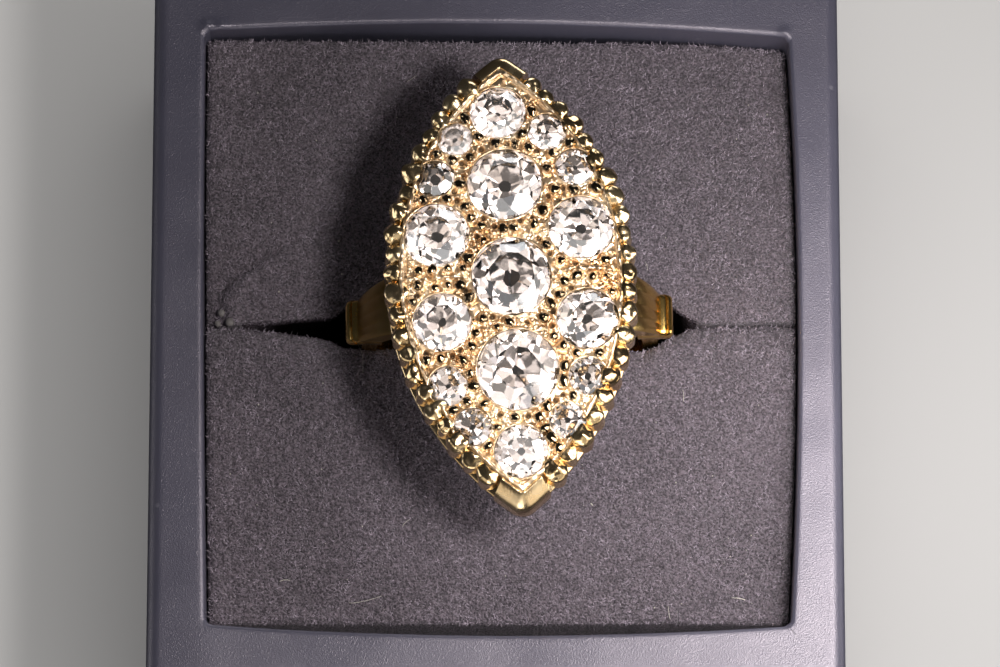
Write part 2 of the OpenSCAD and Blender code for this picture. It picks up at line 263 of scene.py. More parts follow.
def makeScratchGroup():
    # fine hairline scratches along the head's length, in two leaning sets
    group, src, out = newGroup("hairScratches", {"Scale": 900, "Depth": 1}, ["Height"])
    point, scale, depth = objectPoint(group), src.outputs["Scale"], src.outputs["Depth"]
    sets = []
    for turn in (0.2, -0.5):
        lean = addNode(group, "ShaderNodeMapping", None, Vector=point, Rotation=(0, 0, turn))
        lean.inputs["Scale"].default_value = (1, 0.06, 0.3)
        leaning = lean.outputs[0]
        lines = addNode(group, "ShaderNodeTexNoise", None, Vector=leaning, Scale=scale, Detail=2.0)
        sets.append(lines.outputs["Fac"])
    feed(group, out.inputs["Height"], mathOut(group, "MULTIPLY", mathOut(group, "ADD", *sets), depth))
    return group


def makeSpeckGroup():
    # sparse pale dust
    group, src, out = newGroup("dustSpecks", {"Scale": 900, "Cover": 0.05}, ["Mask"])
    point, scale = objectPoint(group), src.outputs["Scale"]
    cells = addNode(group, "ShaderNodeTexVoronoi", {"feature": "F1"}, Vector=point, Scale=scale)
    which = addNode(group, "ShaderNodeSeparateColor", None, Color=cells.outputs["Color"])
    chosen = mathOut(group, "LESS_THAN", which.outputs[0], src.outputs["Cover"])
    near = mapped(group, cells.outputs["Distance"], span=(0.3, 0.12))
    feed(group, out.inputs["Mask"], mathOut(group, "MULTIPLY", chosen, near))
    return group


grainGroup, driftGroup = makeGrainGroup(), makeDriftGroup()
scratchGroup, speckGroup = makeScratchGroup(), makeSpeckGroup()


def placeGroup(tree, group, **inputs):
    node = tree.nodes.new("ShaderNodeGroup")
    node.node_tree = group
    for key, value in inputs.items():
        node.inputs[key].default_value = value
    return node


def newMaterial(name):
    material = bpy.data.materials.new(name)
    material.use_nodes = True
    return material, material.node_tree, material.node_tree.nodes["Principled BSDF"]


def mixColors(tree, factor, dark, light):
    node = addNode(tree, "ShaderNodeMix", {"data_type": "RGBA"}, Factor=factor)
    for socket, colour in ((node.inputs[6], dark), (node.inputs[7], light)):
        feed(tree, socket, (*colour, 1) if isinstance(colour, tuple) else colour)
    return node.outputs[2]


def storedMask(tree, name):
    return addNode(tree, "ShaderNodeAttribute", {"attribute_name": name}).outputs["Fac"]


def bumped(tree, bsdf, height, distance, strength=1.0):
    bump = addNode(tree, "ShaderNodeBump", None, Height=height, Distance=distance, Strength=strength)
    tree.links.new(bump.outputs[0], bsdf.inputs["Normal"])


# each part's pale and deep colour, range of roughness and height of the fine relief in metres
goldLook = {
    "plate": ((1.0, 0.83, 0.61), (0.83, 0.565, 0.335), (0.24, 0.40), 14e-6),
    "knobs": ((0.96, 0.75, 0.46), (0.70, 0.47, 0.23), (0.16, 0.32), 10e-6),
    "beads": ((0.90, 0.70, 0.44), (0.62, 0.43, 0.24), (-0.13, -0.04), 6e-6),
    "seats": ((0.98, 0.80, 0.54), (0.80, 0.58, 0.32), (0.25, 0.45), 8e-6),
    "shank": ((1.0, 0.71, 0.26), (0.72, 0.42, 0.10), (0.14, 0.30), 6e-6),
}
# the painted shade's near-black colour, and how much rougher it makes the metal
shadeLook = {"colour": (0.030, 0.018, 0.011), "rougher": 0.35}


def makeGold(kind, shadeAttribute=None):
    pale, deep, roughness, relief = goldLook[kind]
    material, tree, bsdf = newMaterial("gold_" + kind)
    drift = placeGroup(tree, driftGroup, Scale=420, Contrast=2.2).outputs["Factor"]
    grain = placeGroup(tree, grainGroup, Scale=3800, Depth=0.6)
    scratches = placeGroup(tree, scratchGroup, Scale=5200, Depth=0.8)
    colour = mixColors(tree, drift, deep, pale)
    rough = mapped(tree, drift, to=roughness)
    # painted shade: a stored mask darkens the gold and makes it rougher
    if shadeAttribute:
        mask = storedMask(tree, shadeAttribute)
        colour = mixColors(tree, mask, colour, shadeLook["colour"])
        rough = mathOut(tree, "MULTIPLY_ADD", mask, shadeLook["rougher"], rough)
    feed(tree, bsdf.inputs["Base Color"], colour)
    feed(tree, bsdf.inputs["Roughness"], rough)
    bsdf.inputs["Metallic"].default_value = 1.0
    height = mathOut(tree, "ADD", grain.outputs["Height"], scratches.outputs["Height"])
    bumped(tree, bsdf, height, relief)
    return material


plateGold = makeGold("plate", "painted_shade")
knobGold, beadGold = makeGold("knobs"), makeGold("beads", "painted_shade")
seatGold, shankGold = makeGold("seats", "painted_shade"), makeGold("shank", "painted_shade")


# the head: a navette plate on a dome, outlined by two arcs
head = {
    "width": 16.2,
    "length": 30.4,
    "thick": 2.2,
    "domeR": 75,
    "notch": 0.60,          # how deep the gaps between the knobs are
    "plateIn": 0.97,        # from the outline to the plate's edge
    "knobs": 22,            # along each side
    "knobR": 0.655,
    "capWide": 4.0,
}
halfW, halfL = head["width"] / 2, head["length"] / 2
arcR = (halfW ** 2 + halfL ** 2) / (2 * halfW)
arcShift = arcR - halfW
coreR = arcR - head["notch"]
plateR = arcR - head["plateIn"]
capAngle = math.acos((arcShift + head["capWide"] / 2) / arcR)
domeR = head["domeR"]


def domeDrop(x, y):
    return domeR - np.sqrt(domeR ** 2 - x * x - y * y)


def onDome(x, y):
    lean = math.asin(math.hypot(x, y) / domeR)
    turn = Matrix.Rotation(lean, 4, Vector((-y, x, 0))) if lean else Matrix.Identity(4)
    return Matrix.Translation((0, 0, -domeR)) @ turn @ Matrix.Translation((0, 0, domeR))


def middleOf(values):
    return (values.max() + values.min()) / 2


# each stone's place and size on the plate, measured on its own solid
def readStones():
    back = np.array(headFrame.inverted())
    found = []
    for name in sorted(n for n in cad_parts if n.startswith("stone_")):
        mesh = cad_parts[name].data
        co = np.zeros(len(mesh.vertices) * 3, np.float32)
        mesh.vertices.foreach_get("co", co)
        co = co.reshape(-1, 3) / mm @ back[:3, :3].T + back[:3, 3]
        x, y = middleOf(co[:, 0]), middleOf(co[:, 1])
        for again in range(2):
            m = np.array(onDome(x, y).inverted())
            local = co @ m[:3, :3].T + m[:3, 3]
            x, y = x + middleOf(local[:, 0]), y + middleOf(local[:, 1])
        halfWide, halfLong = np.ptp(local[:, 0]) / 2, np.ptp(local[:, 1]) / 2
        found.append({"name": name, "x": x, "y": y, "r": max(halfWide, halfLong), "girdle": 0.12,
                      "halfW": halfWide, "halfL": halfLong})
    return found


stones = readStones()
stoneHoles = [(s["x"], s["y"], s["r"]) for s in stones]
print(len(stones), "stones found, widest", round(2 * max(s["r"] for s in stones), 2), "mm")

grains = {
    "r": 0.34,
    "lift": 0.12,
    "widestGap": 2.4,       # stones further apart share no grain
    "fromStones": 0.02,     # gap left to both stones
    "step": 0.3,            # to the second grain in a corner
    "bite": 0.05,
    "threadRoom": 0.28,
    "barRoom": 0.35,
    "pitch": 2.06,          # grains this many radii apart or more
    "sizes": (0.92, 1.10),
    "seed": 7,
}
beads = {
    "sizes": (0.72, 0.98),          # as shares of a grain
    "rows": (0.56, -0.54),          # along both sides of each bar
    "rowStep": 0.92,
    "rowLoose": (0.13, 0.08),
    "rowRooms": (0.22, 0.50, 0.62),     # to the stones, to the plate's edge and between beads
    "ringOut": 0.34,                # round each stone
    "ringStep": 1.25,
    "ringRooms": (0.24, 0.62, 0.82),
    "barRoom": 0.42,
    "seed": 17,
}
bars = [(-4.85, -0.05, 1.85), (5.0, 0.1, 1.6)]   # raised bars: across, along, half length


def edgeRoom(x, y):
    return plateR - np.hypot(np.abs(x) + arcShift, y)


def stoneRoom(x, y):
    return min(math.hypot(x - sx, y - sy) - r for sx, sy, r in stoneHoles)


def barRoom(x, y):
    return min(max(abs(x - bx) - half, abs(y - by)) for bx, by, half in bars)


def grainPlaces():
    # one in each corner between two neighbouring stones, and a second behind it where there is room
    kept = []
    reach = [s["r"] + grains["r"] for s in stones]
    spots = [Vector((s["x"], s["y"])) for s in stones]
    pairs = [(i, j) for i in range(len(stones)) for j in range(i + 1, len(stones))]
    for further in (0, grains["step"]):
        for i, j in pairs:
            apart = spots[j] - spots[i]
            d = apart.length
            if d - stones[i]["r"] - stones[j]["r"] > grains["widestGap"]:
                continue
            spare = max(d - reach[i] - reach[j], 0) / 2 + grains["fromStones"] + further
            a, b = reach[i] + spare, reach[j] + spare
            along = (a * a - b * b + d * d) / (2 * d)
            out = math.sqrt(max(a * a - along * along, 0))
            u = apart / d
            for side in (-1, 1):
                p = spots[i] + u * along + side * out * Vector((-u.y, u.x))
                room = min((p - q).length - r for q, r in zip(spots, reach))
                if room <= -grains["bite"] or edgeRoom(p.x, p.y) <= grains["threadRoom"]:
                    continue
                clear = all((p - q).length > grains["pitch"] * grains["r"] for q in kept)
                if clear and barRoom(p.x, p.y) > grains["barRoom"]:
                    kept.append(p)
    return kept


def beadFits(p, rooms, others):
    toStones, toEdge, between = rooms
    if stoneRoom(p.x, p.y) <= toStones or edgeRoom(p.x, p.y) <= toEdge:
        return False
    return min((p - q).length for q in others) > between


def beadPlaces():
    # smaller beads in rows along the bars, then in rings round the stones, where there is room
    rng = np.random.default_rng(beads["seed"])
    looseX, looseY = beads["rowLoose"]
    kept = []
    for bx, by, half in bars:
        for off in beads["rows"]:
            for x in np.arange(bx - half - 0.1, bx + half + 0.3, beads["rowStep"]):
                p = Vector((x + rng.uniform(-looseX, looseX), by + off + rng.uniform(-looseY, looseY)))
                if beadFits(p, beads["rowRooms"], grainSpots + kept):
                    kept.append(p)
    for s in sorted(stones, key=lambda one: -one["r"]):
        out = s["r"] + beads["ringOut"]
        count = round(2 * math.pi * out / beads["ringStep"])
        start = rng.uniform(0, 6.3)
        for k in range(count):
            a = start + 2 * math.pi * k / count
            p = Vector((s["x"] + out * math.cos(a), s["y"] + out * math.sin(a)))
            fits = beadFits(p, beads["ringRooms"], grainSpots + kept)
            if fits and barRoom(p.x, p.y) > beads["barRoom"]:
                kept.append(p)
    return kept


grainSpots = grainPlaces()
beadSpots = beadPlaces()
print(len(grainSpots), "grains and", len(beadSpots), "small beads")

# the engraved top of the plate, as one height field with the stones' seats left out
plate = {
    "step": 0.04,           # pitch of the modelled surface
    "snap": 0.55,           # points this many steps from a cut edge move on to it
    "clear": 0.02,          # between the plate and a stone's edge
    "threadWide": 0.20,
    "threadHigh": 0.13,
    "threadWorn": 0.07,
    "grooveDeep": 0.10,     # beside the thread
    "lipHigh": 0.05,        # rim pushed up round each stone
    "cutSize": 0.46,        # one graver cut
    "cutTilt": 0.56,
    "barWide": 0.24,
    "barHigh": 0.25,
    "barRipple": (0.06, 0.62),      # height and pitch
    "moatR": 0.42,          # round each grain
    "moatDeep": 0.16,
    "hollowR": 0.17,
    "hollowDeep": 0.40,
    "hollows": 34,
    "hollowRooms": (0.17, 0.60, 0.50, 0.52),    # to the stones, the edge, the grains and each other
    "seed": 11,
}


def graverCuts(x, y, size, tilt, seed):
    # every point takes the tilt of its nearest seed, so the cuts are flat facets
    rng = np.random.default_rng(seed)
    nx, ny = int(20 / size) + 4, int(34 / size) + 4
    jitter, slopes = rng.random((ny, nx, 2)), rng.normal(size=(ny, nx, 3)) * tilt
    gx, gy = x / size + nx / 2, y / size + ny / 2
    ix, iy = np.floor(gx).astype(int), np.floor(gy).astype(int)
    best, height = np.full(x.shape, 9.0), np.zeros(x.shape)
    for dy in (-1, 0, 1):
        for dx in (-1, 0, 1):
            jx, jy = np.clip(ix + dx, 0, nx - 1), np.clip(iy + dy, 0, ny - 1)
            ex, ey = gx - jx - jitter[jy, jx, 0], gy - jy - jitter[jy, jx, 1]
            d = ex * ex + ey * ey
            nearer = d < best
            best = np.where(nearer, d, best)
            lean = (ex * slopes[jy, jx, 0] + ey * slopes[jy, jx, 1] + 0.25 * slopes[jy, jx, 2]) * size
            height = np.where(nearer, lean, height)
    return height


def nearestHole(x, y, holes, gap=0):
    # how far the nearest of some round holes is, with its middle and radius
    free, hole = np.full(x.shape, 99.0), np.zeros((3, *x.shape))
    for cx, cy, r in holes:
        d = np.hypot(x - cx, y - cy) - r - gap
        nearer = d < free
        free = np.where(nearer, d, free)
        hole[:, nearer] = [[cx], [cy], [r]]
    return free, *hole


def hollowPlaces():
    # drilled hollows beside the grains
    rng = np.random.default_rng(plate["seed"])
    toStones, toEdge, toGrains, between = plate["hollowRooms"]
    kept = []
    for trial in range(9000):
        x, y = rng.uniform(-7, 7), rng.uniform(-14, 14)
        if edgeRoom(x, y) < toEdge or stoneRoom(x, y) < toStones:
            continue
        if min(math.hypot(x - g.x, y - g.y) for g in grainSpots + beadSpots) < toGrains:
            continue
        if kept and min(math.hypot(x - a, y - b) for a, b in kept) < between:
            continue
        kept.append((x, y))
        if len(kept) == plate["hollows"]:
            break
    return kept


def snapped(x, y, miss, cx, cy, radius, near):
    # points close to a circle move on to it, so that the cut edge is clean
    d = np.hypot(x - cx, y - cy)
    scale = np.where(np.abs(miss) < near, radius / np.maximum(d, 1e-6), 1)
    return cx + (x - cx) * scale, cy + (y - cy) * scale


def keptGrid(x, y, z, keep):
    # the faces of a grid whose four corners are all kept
    index = np.full(x.shape, -1)
    index[keep] = np.arange(keep.sum())
    corners = np.stack([index[:-1, :-1], index[:-1, 1:], index[1:, 1:], index[1:, :-1]], -1)
    corners = corners.reshape(-1, 4)
    return np.stack([x[keep], y[keep], z[keep]], 1), corners[(corners >= 0).all(1)]


def plateGrid():
    step, near = plate["step"], plate["snap"] * plate["step"]
    x, y = np.meshgrid(np.arange(-7.5, 7.5, step), np.arange(-14.7, 14.7, step))
    free, sx, sy = nearestHole(x, y, stoneHoles, plate["clear"])[:3]
    x, y = snapped(x, y, free, sx, sy, np.hypot(x - sx, y - sy) - free, near)
    side = np.where(x >= 0, -arcShift, arcShift)
    x, y = snapped(x, y, edgeRoom(x, y), side, 0.0, plateR, near)
    return x, y, nearestHole(x, y, stoneHoles, plate["clear"])[0], edgeRoom(x, y)


def plateRelief(x, y, free, edge):
    # engraving, only where there is room for it
    size, tilt, seed = plate["cutSize"], plate["cutTilt"], plate["seed"]
    roomy = smooth(0.04, 0.18, free) * smooth(0.36, 0.52, edge)
    cuts = graverCuts(x, y, size, tilt, seed)
    fineCuts = graverCuts(x + 3.1, y - 1.7, size * 0.5, tilt * 1.4, seed + 1)
    h = roomy * (cuts + fineCuts - 0.04)
    ripple, pitch = plate["barRipple"]
    for bx, by, half in bars:
        along = smooth(half + 0.15, half - 0.05, np.abs(x - bx))
        across = np.sqrt(np.clip(1 - ((y - by) / plate["barWide"]) ** 2, 0, 1))
        high = plate["barHigh"] + ripple * np.cos(2 * math.pi * (x - bx) / pitch)
        h = np.maximum(h, along * across * high - 0.02 * (across == 0))
    hollows = hollowPlaces()
    for gx, gy in hollows:
        d = np.hypot(x - gx, y - gy)
        h -= plate["hollowDeep"] * np.exp(-(d / plate["hollowR"]) ** 4) * smooth(0.02, 0.10, free)
    moatTurn = hollows[-1][0]   # one turn for all the moats, taken from the last hollow's place
    for g in grainSpots + beadSpots:
        # a moat round each grain, deeper on two sides
        dx, dy = x - g.x, y - g.y
        ring = np.exp(-((np.hypot(dx, dy) - plate["moatR"]) / 0.10) ** 2)
        sides = 0.7 + 0.3 * np.cos(np.arctan2(dy, dx) * 2 + moatTurn)
        h -= plate["moatDeep"] * ring * smooth(0.0, 0.08, free) * sides
    # metal pushed up towards each stone
    h += plate["lipHigh"] * (0.6 + 0.7 * waves(x, y, 0.6, 5)) * np.exp(-(free / 0.10) ** 2)
    # the thread along the edge, uneven and worn, and milled on the left towards the back
    wide = plate["threadWide"] + 0.04 * waves(x, y, 1.6, 8) + 0.16 * smooth(12.6, 13.6, np.abs(y))
    t = (edge - 0.03 - 0.03 * waves(x, y, 0.9, 10)) / wide
    thread = np.sqrt(np.clip(1 - (2 * t - 1) ** 4, 0, 1)) * (np.abs(2 * t - 1) < 1)
    teeth = 1 - np.abs(np.cos(y * 1.2 * math.pi / 0.44))
    milled = 0.3 * smooth(-0.5, -3.5, x) * smooth(5.0, 7.5, y) * teeth
    worn = plate["threadHigh"] + plate["threadWorn"] * waves(x, y, 0.42, 9, 2)
    h += worn * thread * (1 - milled * 1.6)
    return h - plate["grooveDeep"] * np.exp(-((edge - 0.42) / 0.06) ** 2) * smooth(0.0, 0.1, free)


def makePlate():
    x, y, free, edge = plateGrid()
    h = plateRelief(x, y, free, edge)
    keep = (edge > -1e-6) & (free > -1e-6)
    points, corners = keptGrid(x, y, h - domeDrop(x, y), keep)
    piece = makePiece("engraved_plate", (points, [corners]), plateGold, headFrame, facing=False)
    # painted shade darkens the cut-down hollows and grooves
    storeMask(piece, "painted_shade", smooth(0.12, 0.36, -h[keep]) * 0.8)
    dropLoose(piece)
    return piece


# the burnished edge that holds each stone, thick and thin by turns
edges = {
    "thick": 0.045,
    "change": 0.055,
    "least": 0.012,
    "most": 0.11,
    "seed": 30,
}


def makeEdges():
    parts = []
    a = np.linspace(0, 2 * math.pi, 90, endpoint=False)
    for number, (x, y, r) in enumerate(stoneHoles):
        uneven = waves(x + r * np.cos(a), y + r * np.sin(a), 0.45, edges["seed"] + number)
        thick = np.clip(edges["thick"] + edges["change"] * uneven, edges["least"], edges["most"])
        rings = []
        for b in np.linspace(-0.5, math.pi + 0.5, 9):
            out, z = r + 0.015 + thick * math.cos(b), -0.06 + 0.03 * uneven + thick * math.sin(b)
            rings.append(np.stack([out * np.cos(a), out * np.sin(a), z], 1))
        parts.append(moved(loft(np.array(rings), capped=False), onDome(x, y)))
    return makePiece("burnished_edges", joined(parts), plateGold, headFrame)


platePiece = makePlate()
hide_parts("gold_mount")
makeEdges()
print("engraved plate", len(platePiece.data.polygons), "faces")


# knobs, caps, core and foot of the border, and the underside with the open backs of the seats
knob = {
    "lobeZ": 1.68,          # from the foot to the lobe's middle
    "axisIn": 0.73,         # its axis, from the outline
    "long": (1.18, 1.38),   # stretched towards the stones
    "wide": (1.08, 1.16),
    "lean": 3,              # degrees inwards
    "waist": 0.85,
    "footR": (0.92, 0.89),  # at the foot and above it, as shares of the lobe
    "dents": 0.055,
    "sides": 28,
    "uneven": 0.13,         # in width, from knob to knob
    "growth": 0.07,         # of the right side's knobs towards the front
    "seed": 4,
}
foot = {"high": 0.34, "shift": (-0.05, -0.12), "in": 0.12, "tipRound": 1.2}
# the caps' polished bevels from the thread down, back and front: (inwards, height, tip rounding)
capTops = {
    1: [(1.06, -0.35, 0.06), (1.02, -0.02, 0.08), (0.97, 0.08, 0.12), (0.90, 0.12, 0.18),
        (0.70, 0.13, 0.40), (0.50, 0.12, 0.62), (0.36, 0.07, 0.80), (0.26, -0.03, 0.92),
        (0.17, -0.22, 1.02), (0.11, -0.56, 1.12)],
    -1: [(1.06, -0.35, 0.06), (1.02, -0.04, 0.08), (0.97, 0.05, 0.12), (0.89, 0.09, 0.20),
         (0.79, 0.05, 0.32), (0.63, -0.11, 0.52), (0.47, -0.27, 0.70), (0.31, -0.44, 0.86),
         (0.19, -0.58, 1.00), (0.10, -0.74, 1.12)],
}
capFoot = [(0.05, -1.05, 1.18), (0.02, -1.6, 1.22), (0.0, -2.1, 1.25), (0.03, -2.2, 1.25),
           (0.9, -2.2, 0.3)]


def makeKnob(angle, side, size, rng):
    r = head["knobR"] * size
    axis = arcR - knob["axisIn"]
    x, y = side * (axis * math.cos(angle) - arcShift), axis * math.sin(angle)
    outwards = angle if side > 0 else math.pi - angle
    lean = math.radians(knob["lean"]) + rng.uniform(-0.05, 0.05)
    middle = knob["lobeZ"] + rng.uniform(-0.06, 0.06)
    start = -math.acos(knob["waist"])
    low, high = knob["footR"]
    profile = [(r * low, 0.0), (r * high, 0.3)]
    profile.append((r * knob["waist"], middle + r * math.sin(start) - 0.15))
    for k in range(14):
        a = start + (math.pi / 2 - start) * k / 13.4
        profile.append((r * math.cos(a), middle + r * math.sin(a) * 0.97))
    phase, amount = rng.uniform(0, 6.3), rng.uniform(0.01, 0.045)
    points, faces = turned(profile, knob["sides"], lambda a: 1 + amount * np.cos(2 * a + phase))
    dents = waves(points[:, 0] + 5 * x, points[:, 1] + 5 * y, 0.5, 15, 2)
    dents += waves(points[:, 2] + 5 * y, points[:, 0], 0.5, 16, 2)
    points *= 1 + knob["dents"] * dents[:, None] * (points[:, 2:] > 0.4)
    stretch = Matrix.Diagonal((rng.uniform(*knob["long"]), rng.uniform(*knob["wide"]), 1, 1))
    drop = float(domeDrop(x, y))
    where = Matrix.Translation((x, y, -drop - head["thick"])) @ Matrix.Rotation(outwards, 4, "Z")
    return moved((points, faces), where @ Matrix.Rotation(-lean, 4, "Y") @ stretch)


def tipSpan(rho, tipRound, start, count):
    # from the right side round the back tip to the left side, at radius rho about the two arcs' middles
    middle = math.sqrt(max((rho - tipRound) ** 2 - arcShift ** 2, 0))
    tangent = math.atan2(middle, arcShift)
    side = np.linspace(start, tangent, count, endpoint=False)
    tip = np.linspace(tangent, math.pi - tangent, count)
    x = np.concatenate([rho * np.cos(side) - arcShift, tipRound * np.cos(tip)])
    y = np.concatenate([rho * np.sin(side), middle + tipRound * np.sin(tip)])
    left = np.stack([-(rho * np.cos(side[::-1]) - arcShift), rho * np.sin(side[::-1])], 1)
    return np.vstack([np.stack([x, y], 1), left])


def makeCap(end):
    # end is 1 at the back and -1 at the front, whose tip stands further out
    rings = []
    for inwards, height, rounding in capTops[end] + capFoot:
        curve = tipSpan(arcR - inwards, rounding, capAngle + 0.012, 22)
        curve *= end
        curve[:, 1] -= 0.2 * (end < 0) * smooth(0.9, 0.3, inwards)
        wave = 0.025 * waves(curve[:, 0], curve[:, 1], 1.1, 21 + end)
        z = height + wave * (height > -2.0) - domeDrop(curve[:, 0], curve[:, 1])
        rings.append(np.column_stack([curve, z]))
    return loft(np.array(rings).transpose(1, 0, 2))


def navetteRing(rho, tipRound, height, shift=(0, 0)):
    back = tipSpan(rho, tipRound, -1e-6, 70)
    loop = np.vstack([back[:-1], (-back)[:-1]])
    return np.column_stack([loop + shift, height - domeDrop(loop[:, 0], loop[:, 1])])


def makeCore():
    rings = [navetteRing(plateR - 0.25, 0.05, -0.25), navetteRing(plateR, 0.1, 0.02)]
    for share in (0.25, 0.5, 0.75, 1):
        rho, height = plateR + (coreR - plateR) * share, -head["thick"] * share
        rings.append(navetteRing(rho, 0.1 + 0.6 * share, height))
    rings.append(navetteRing(coreR - 0.6, 0.2, -head["thick"] - 0.01))
    return loft(np.array(rings), capped=False)


def makeFoot():
    r, low, high = arcR - foot["in"], -head["thick"], foot["high"] - head["thick"]
    section = [(r - 0.9, low), (r - 0.06, low), (r, low + 0.07)]
    section += [(r, high - 0.10), (r - 0.07, high), (r - 0.9, high)]
    rings = [navetteRing(rho, foot["tipRound"], height, foot["shift"]) for rho, height in section]
    return loft(np.array(rings), closeRows=True, capped=False)


# the seats under the stones; hole, cone, coneWide and girdle are shares of a stone's radius
seat = {
    "clear": 0.08,
    "lip": 0.03,            # the seat's mouth, outside the stone
    "hole": 0.4,            # the open back
    "cone": 0.77,           # from girdle to culet
    "coneWide": 0.85,
    "girdle": 0.06,
    "sides": 56,
    "step": 0.14,           # pitch of the underside
}


def seatRadii(s):
    wall = s["r"] + seat["clear"]
    hole = s["r"] * seat["hole"] + seat["clear"]
    coneHigh = s["r"] * seat["cone"] * (wall - hole) / (s["r"] * seat["coneWide"])
    return hole, s["girdle"] + s["r"] * seat["girdle"] + seat["clear"], coneHigh


def makeSeat(s):
    hole, sink, coneHigh = seatRadii(s)
    mouth = s["r"] + seat["lip"]
    rows = [(mouth, -0.02), (mouth, -sink)]
    rows += [(mouth + (hole - mouth) * k / 4, -sink - coneHigh * k / 4) for k in range(1, 5)]
    rows.append((hole, -max(head["thick"] + 0.08, sink + coneHigh + 0.05)))
    points, faces = turned(rows, seat["sides"])
    return moved((points[:seat["sides"] * len(rows)], [faces[0]]), onDome(s["x"], s["y"]))


def makeUnderside():
    step = seat["step"]
    under = domeR - head["thick"]
    x, y = np.meshgrid(np.arange(-8.4, 8.4, step), np.arange(-15.4, 15.4, step))
    # the back of a seat leans with the dome
    holes = [(s["x"] * under / domeR, s["y"] * under / domeR, seatRadii(s)[0]) for s in stones]
    free, cx, cy, r = nearestHole(x, y, holes)
    x, y = snapped(x, y, free, cx, cy, r, plate["snap"] * step)
    edge = coreR - 0.1 - np.hypot(np.abs(x) + arcShift, y)
    keep = (edge > 0) & (free > -0.56 * step)
    points, corners = keptGrid(x, y, -domeR + np.sqrt(under ** 2 - x * x - y * y), keep)
    return points, [corners[:, ::-1]]


def makeBorder():
    rng = np.random.default_rng(knob["seed"])
    parts = [makeCap(1), makeCap(-1), makeFoot()]
    for side in (-1, 1):
        # no two knobs are equally wide; on the right they grow towards the front
        wide = 1 + rng.uniform(-1, 1, head["knobs"]) * knob["uneven"]
        wide *= 1 + knob["growth"] * (side > 0) * np.linspace(1, -1, head["knobs"])
        wide *= head["knobs"] / wide.sum()
        ends = np.cumsum(wide) * 2 * capAngle / head["knobs"]
        middles = ends - wide * capAngle / head["knobs"] - capAngle
        parts += [makeKnob(a, side, w, rng) for a, w in zip(middles, wide)]
    return makePiece("knob_border", joined(parts), knobGold, headFrame, sharp=55)


def makeGallery():
    seats, rest = joined([makeSeat(s) for s in stones]), joined([makeCore(), makeUnderside()])
    piece = makePiece("seats_and_core", joined([seats, rest]), seatGold, headFrame, sharp=40)
    # painted shade: the open backs are painted dark, and the core and underside under the head less so;
    # the seats themselves stay bright
    rows = np.tile(np.repeat([0, 0, 0, 0.08, 0.45, 1, 1], seat["sides"]), len(stones))
    storeMask(piece, "painted_shade", np.concatenate([rows, np.full(len(rest[0]), 0.6)]))
    dropLoose(piece)
    return piece


makeBorder()
makeGallery()


def makeGrains():
    rng = np.random.default_rng(grains["seed"])
    angles = np.linspace(math.radians(-60), math.radians(86), 13)
    parts, dark = [], []
    for p in grainSpots + beadSpots:
        r = grains["r"] * rng.uniform(*(grains if p in grainSpots else beads)["sizes"])
        points, faces = turned([(r * math.cos(a), r * math.sin(a)) for a in angles], 22)
        points *= 1 + 0.16 * waves(points[:, 0] + 9 * p.x, points[:, 1] + 9 * p.y, 0.30, 14, 2)[:, None]
        wide, deep, high = rng.uniform(0.85, 1.25), rng.uniform(0.80, 1.05), rng.uniform(0.7, 0.95)
        shape = Matrix.Diagonal((wide, deep, high, 1))
        spin = Matrix.Rotation(rng.uniform(0, 6.3), 4, "Z")
        spin = spin @ Matrix.Rotation(rng.uniform(-0.2, 0.2), 4, "X")
        lift = Matrix.Translation((0, 0, grains["lift"] + rng.uniform(-0.03, 0.05)))
        parts.append(moved((points, faces), onDome(p.x, p.y) @ lift @ spin @ shape))
        # painted shade: most grains are painted dark for the dark room that they mirror, fewer towards
        # the front and some at random
        shadeAmount = 0.74 - 0.5 * rng.random() * smooth(2, -9, p.y) - 0.35 * (rng.random() < 0.3)
        dark.append(np.full(len(points), shadeAmount))
    piece = makePiece("grains", joined(parts), beadGold, headFrame)
    storeMask(piece, "painted_shade", np.concatenate(dark))
    return piece


makeGrains()


# shank, collars and fluted shoulders
shank = {
    "inner": 8.7,
    "thick": 1.3,
    "wide": 2.6,
    "crown": 0.45,
    "forward": 0.2,         # it stands a little in front of the head's middle
}
shoulder = {
    "outer": 10.3,
    "rise": 0.2,
    "lowZ": 2.5,
    "topZ": 10.55,
    "lowWide": 2.7,
    "topWide": 4.8,
    "flutes": 4,
    "fluteDeep": 0.06,
}
collar = {
    "reach": 10.66,
    "lowZ": 1.9,
    "high": 1.2,
    "wider": 0.09,          # than the shoulder, on each side
    # its stepped upper edge: (inwards from the reach, down from the top)
    "steps": [(0, 0.42), (0.04, 0.24), (0.13, 0.10), (0.26, 0.03), (0.34, 0.05), (0.38, 0.12),
              (0.43, 0.06), (0.55, 0.01), (0.7, 0)],
    # its rounded sides: (inwards from the side, drawn in)
    "sides": [(0, 0.34), (0.04, 0.22), (0.12, 0.10), (0.24, 0.03), (0.42, 0)],
}


def makeShank():
    half = shank["wide"] / 2
    ys = np.linspace(-half, half, 15)
    outer = shank["inner"] + shank["thick"] - shank["crown"] * (ys / half) ** 2
    inner, side = shank["inner"], shank["inner"] + 0.06
    section = [(side, -half), *zip(outer[1:-1], ys[1:-1]), (side, half)]
    section += [(inner, half - 0.12), (inner, -half + 0.12)]
    a = np.linspace(0, 2 * math.pi, 200, endpoint=False)
    rings = [np.stack([r * np.cos(a), np.full(200, y), r * np.sin(a)], 1) for r, y in section]
    return loft(np.array(rings), closeRows=True, capped=False)


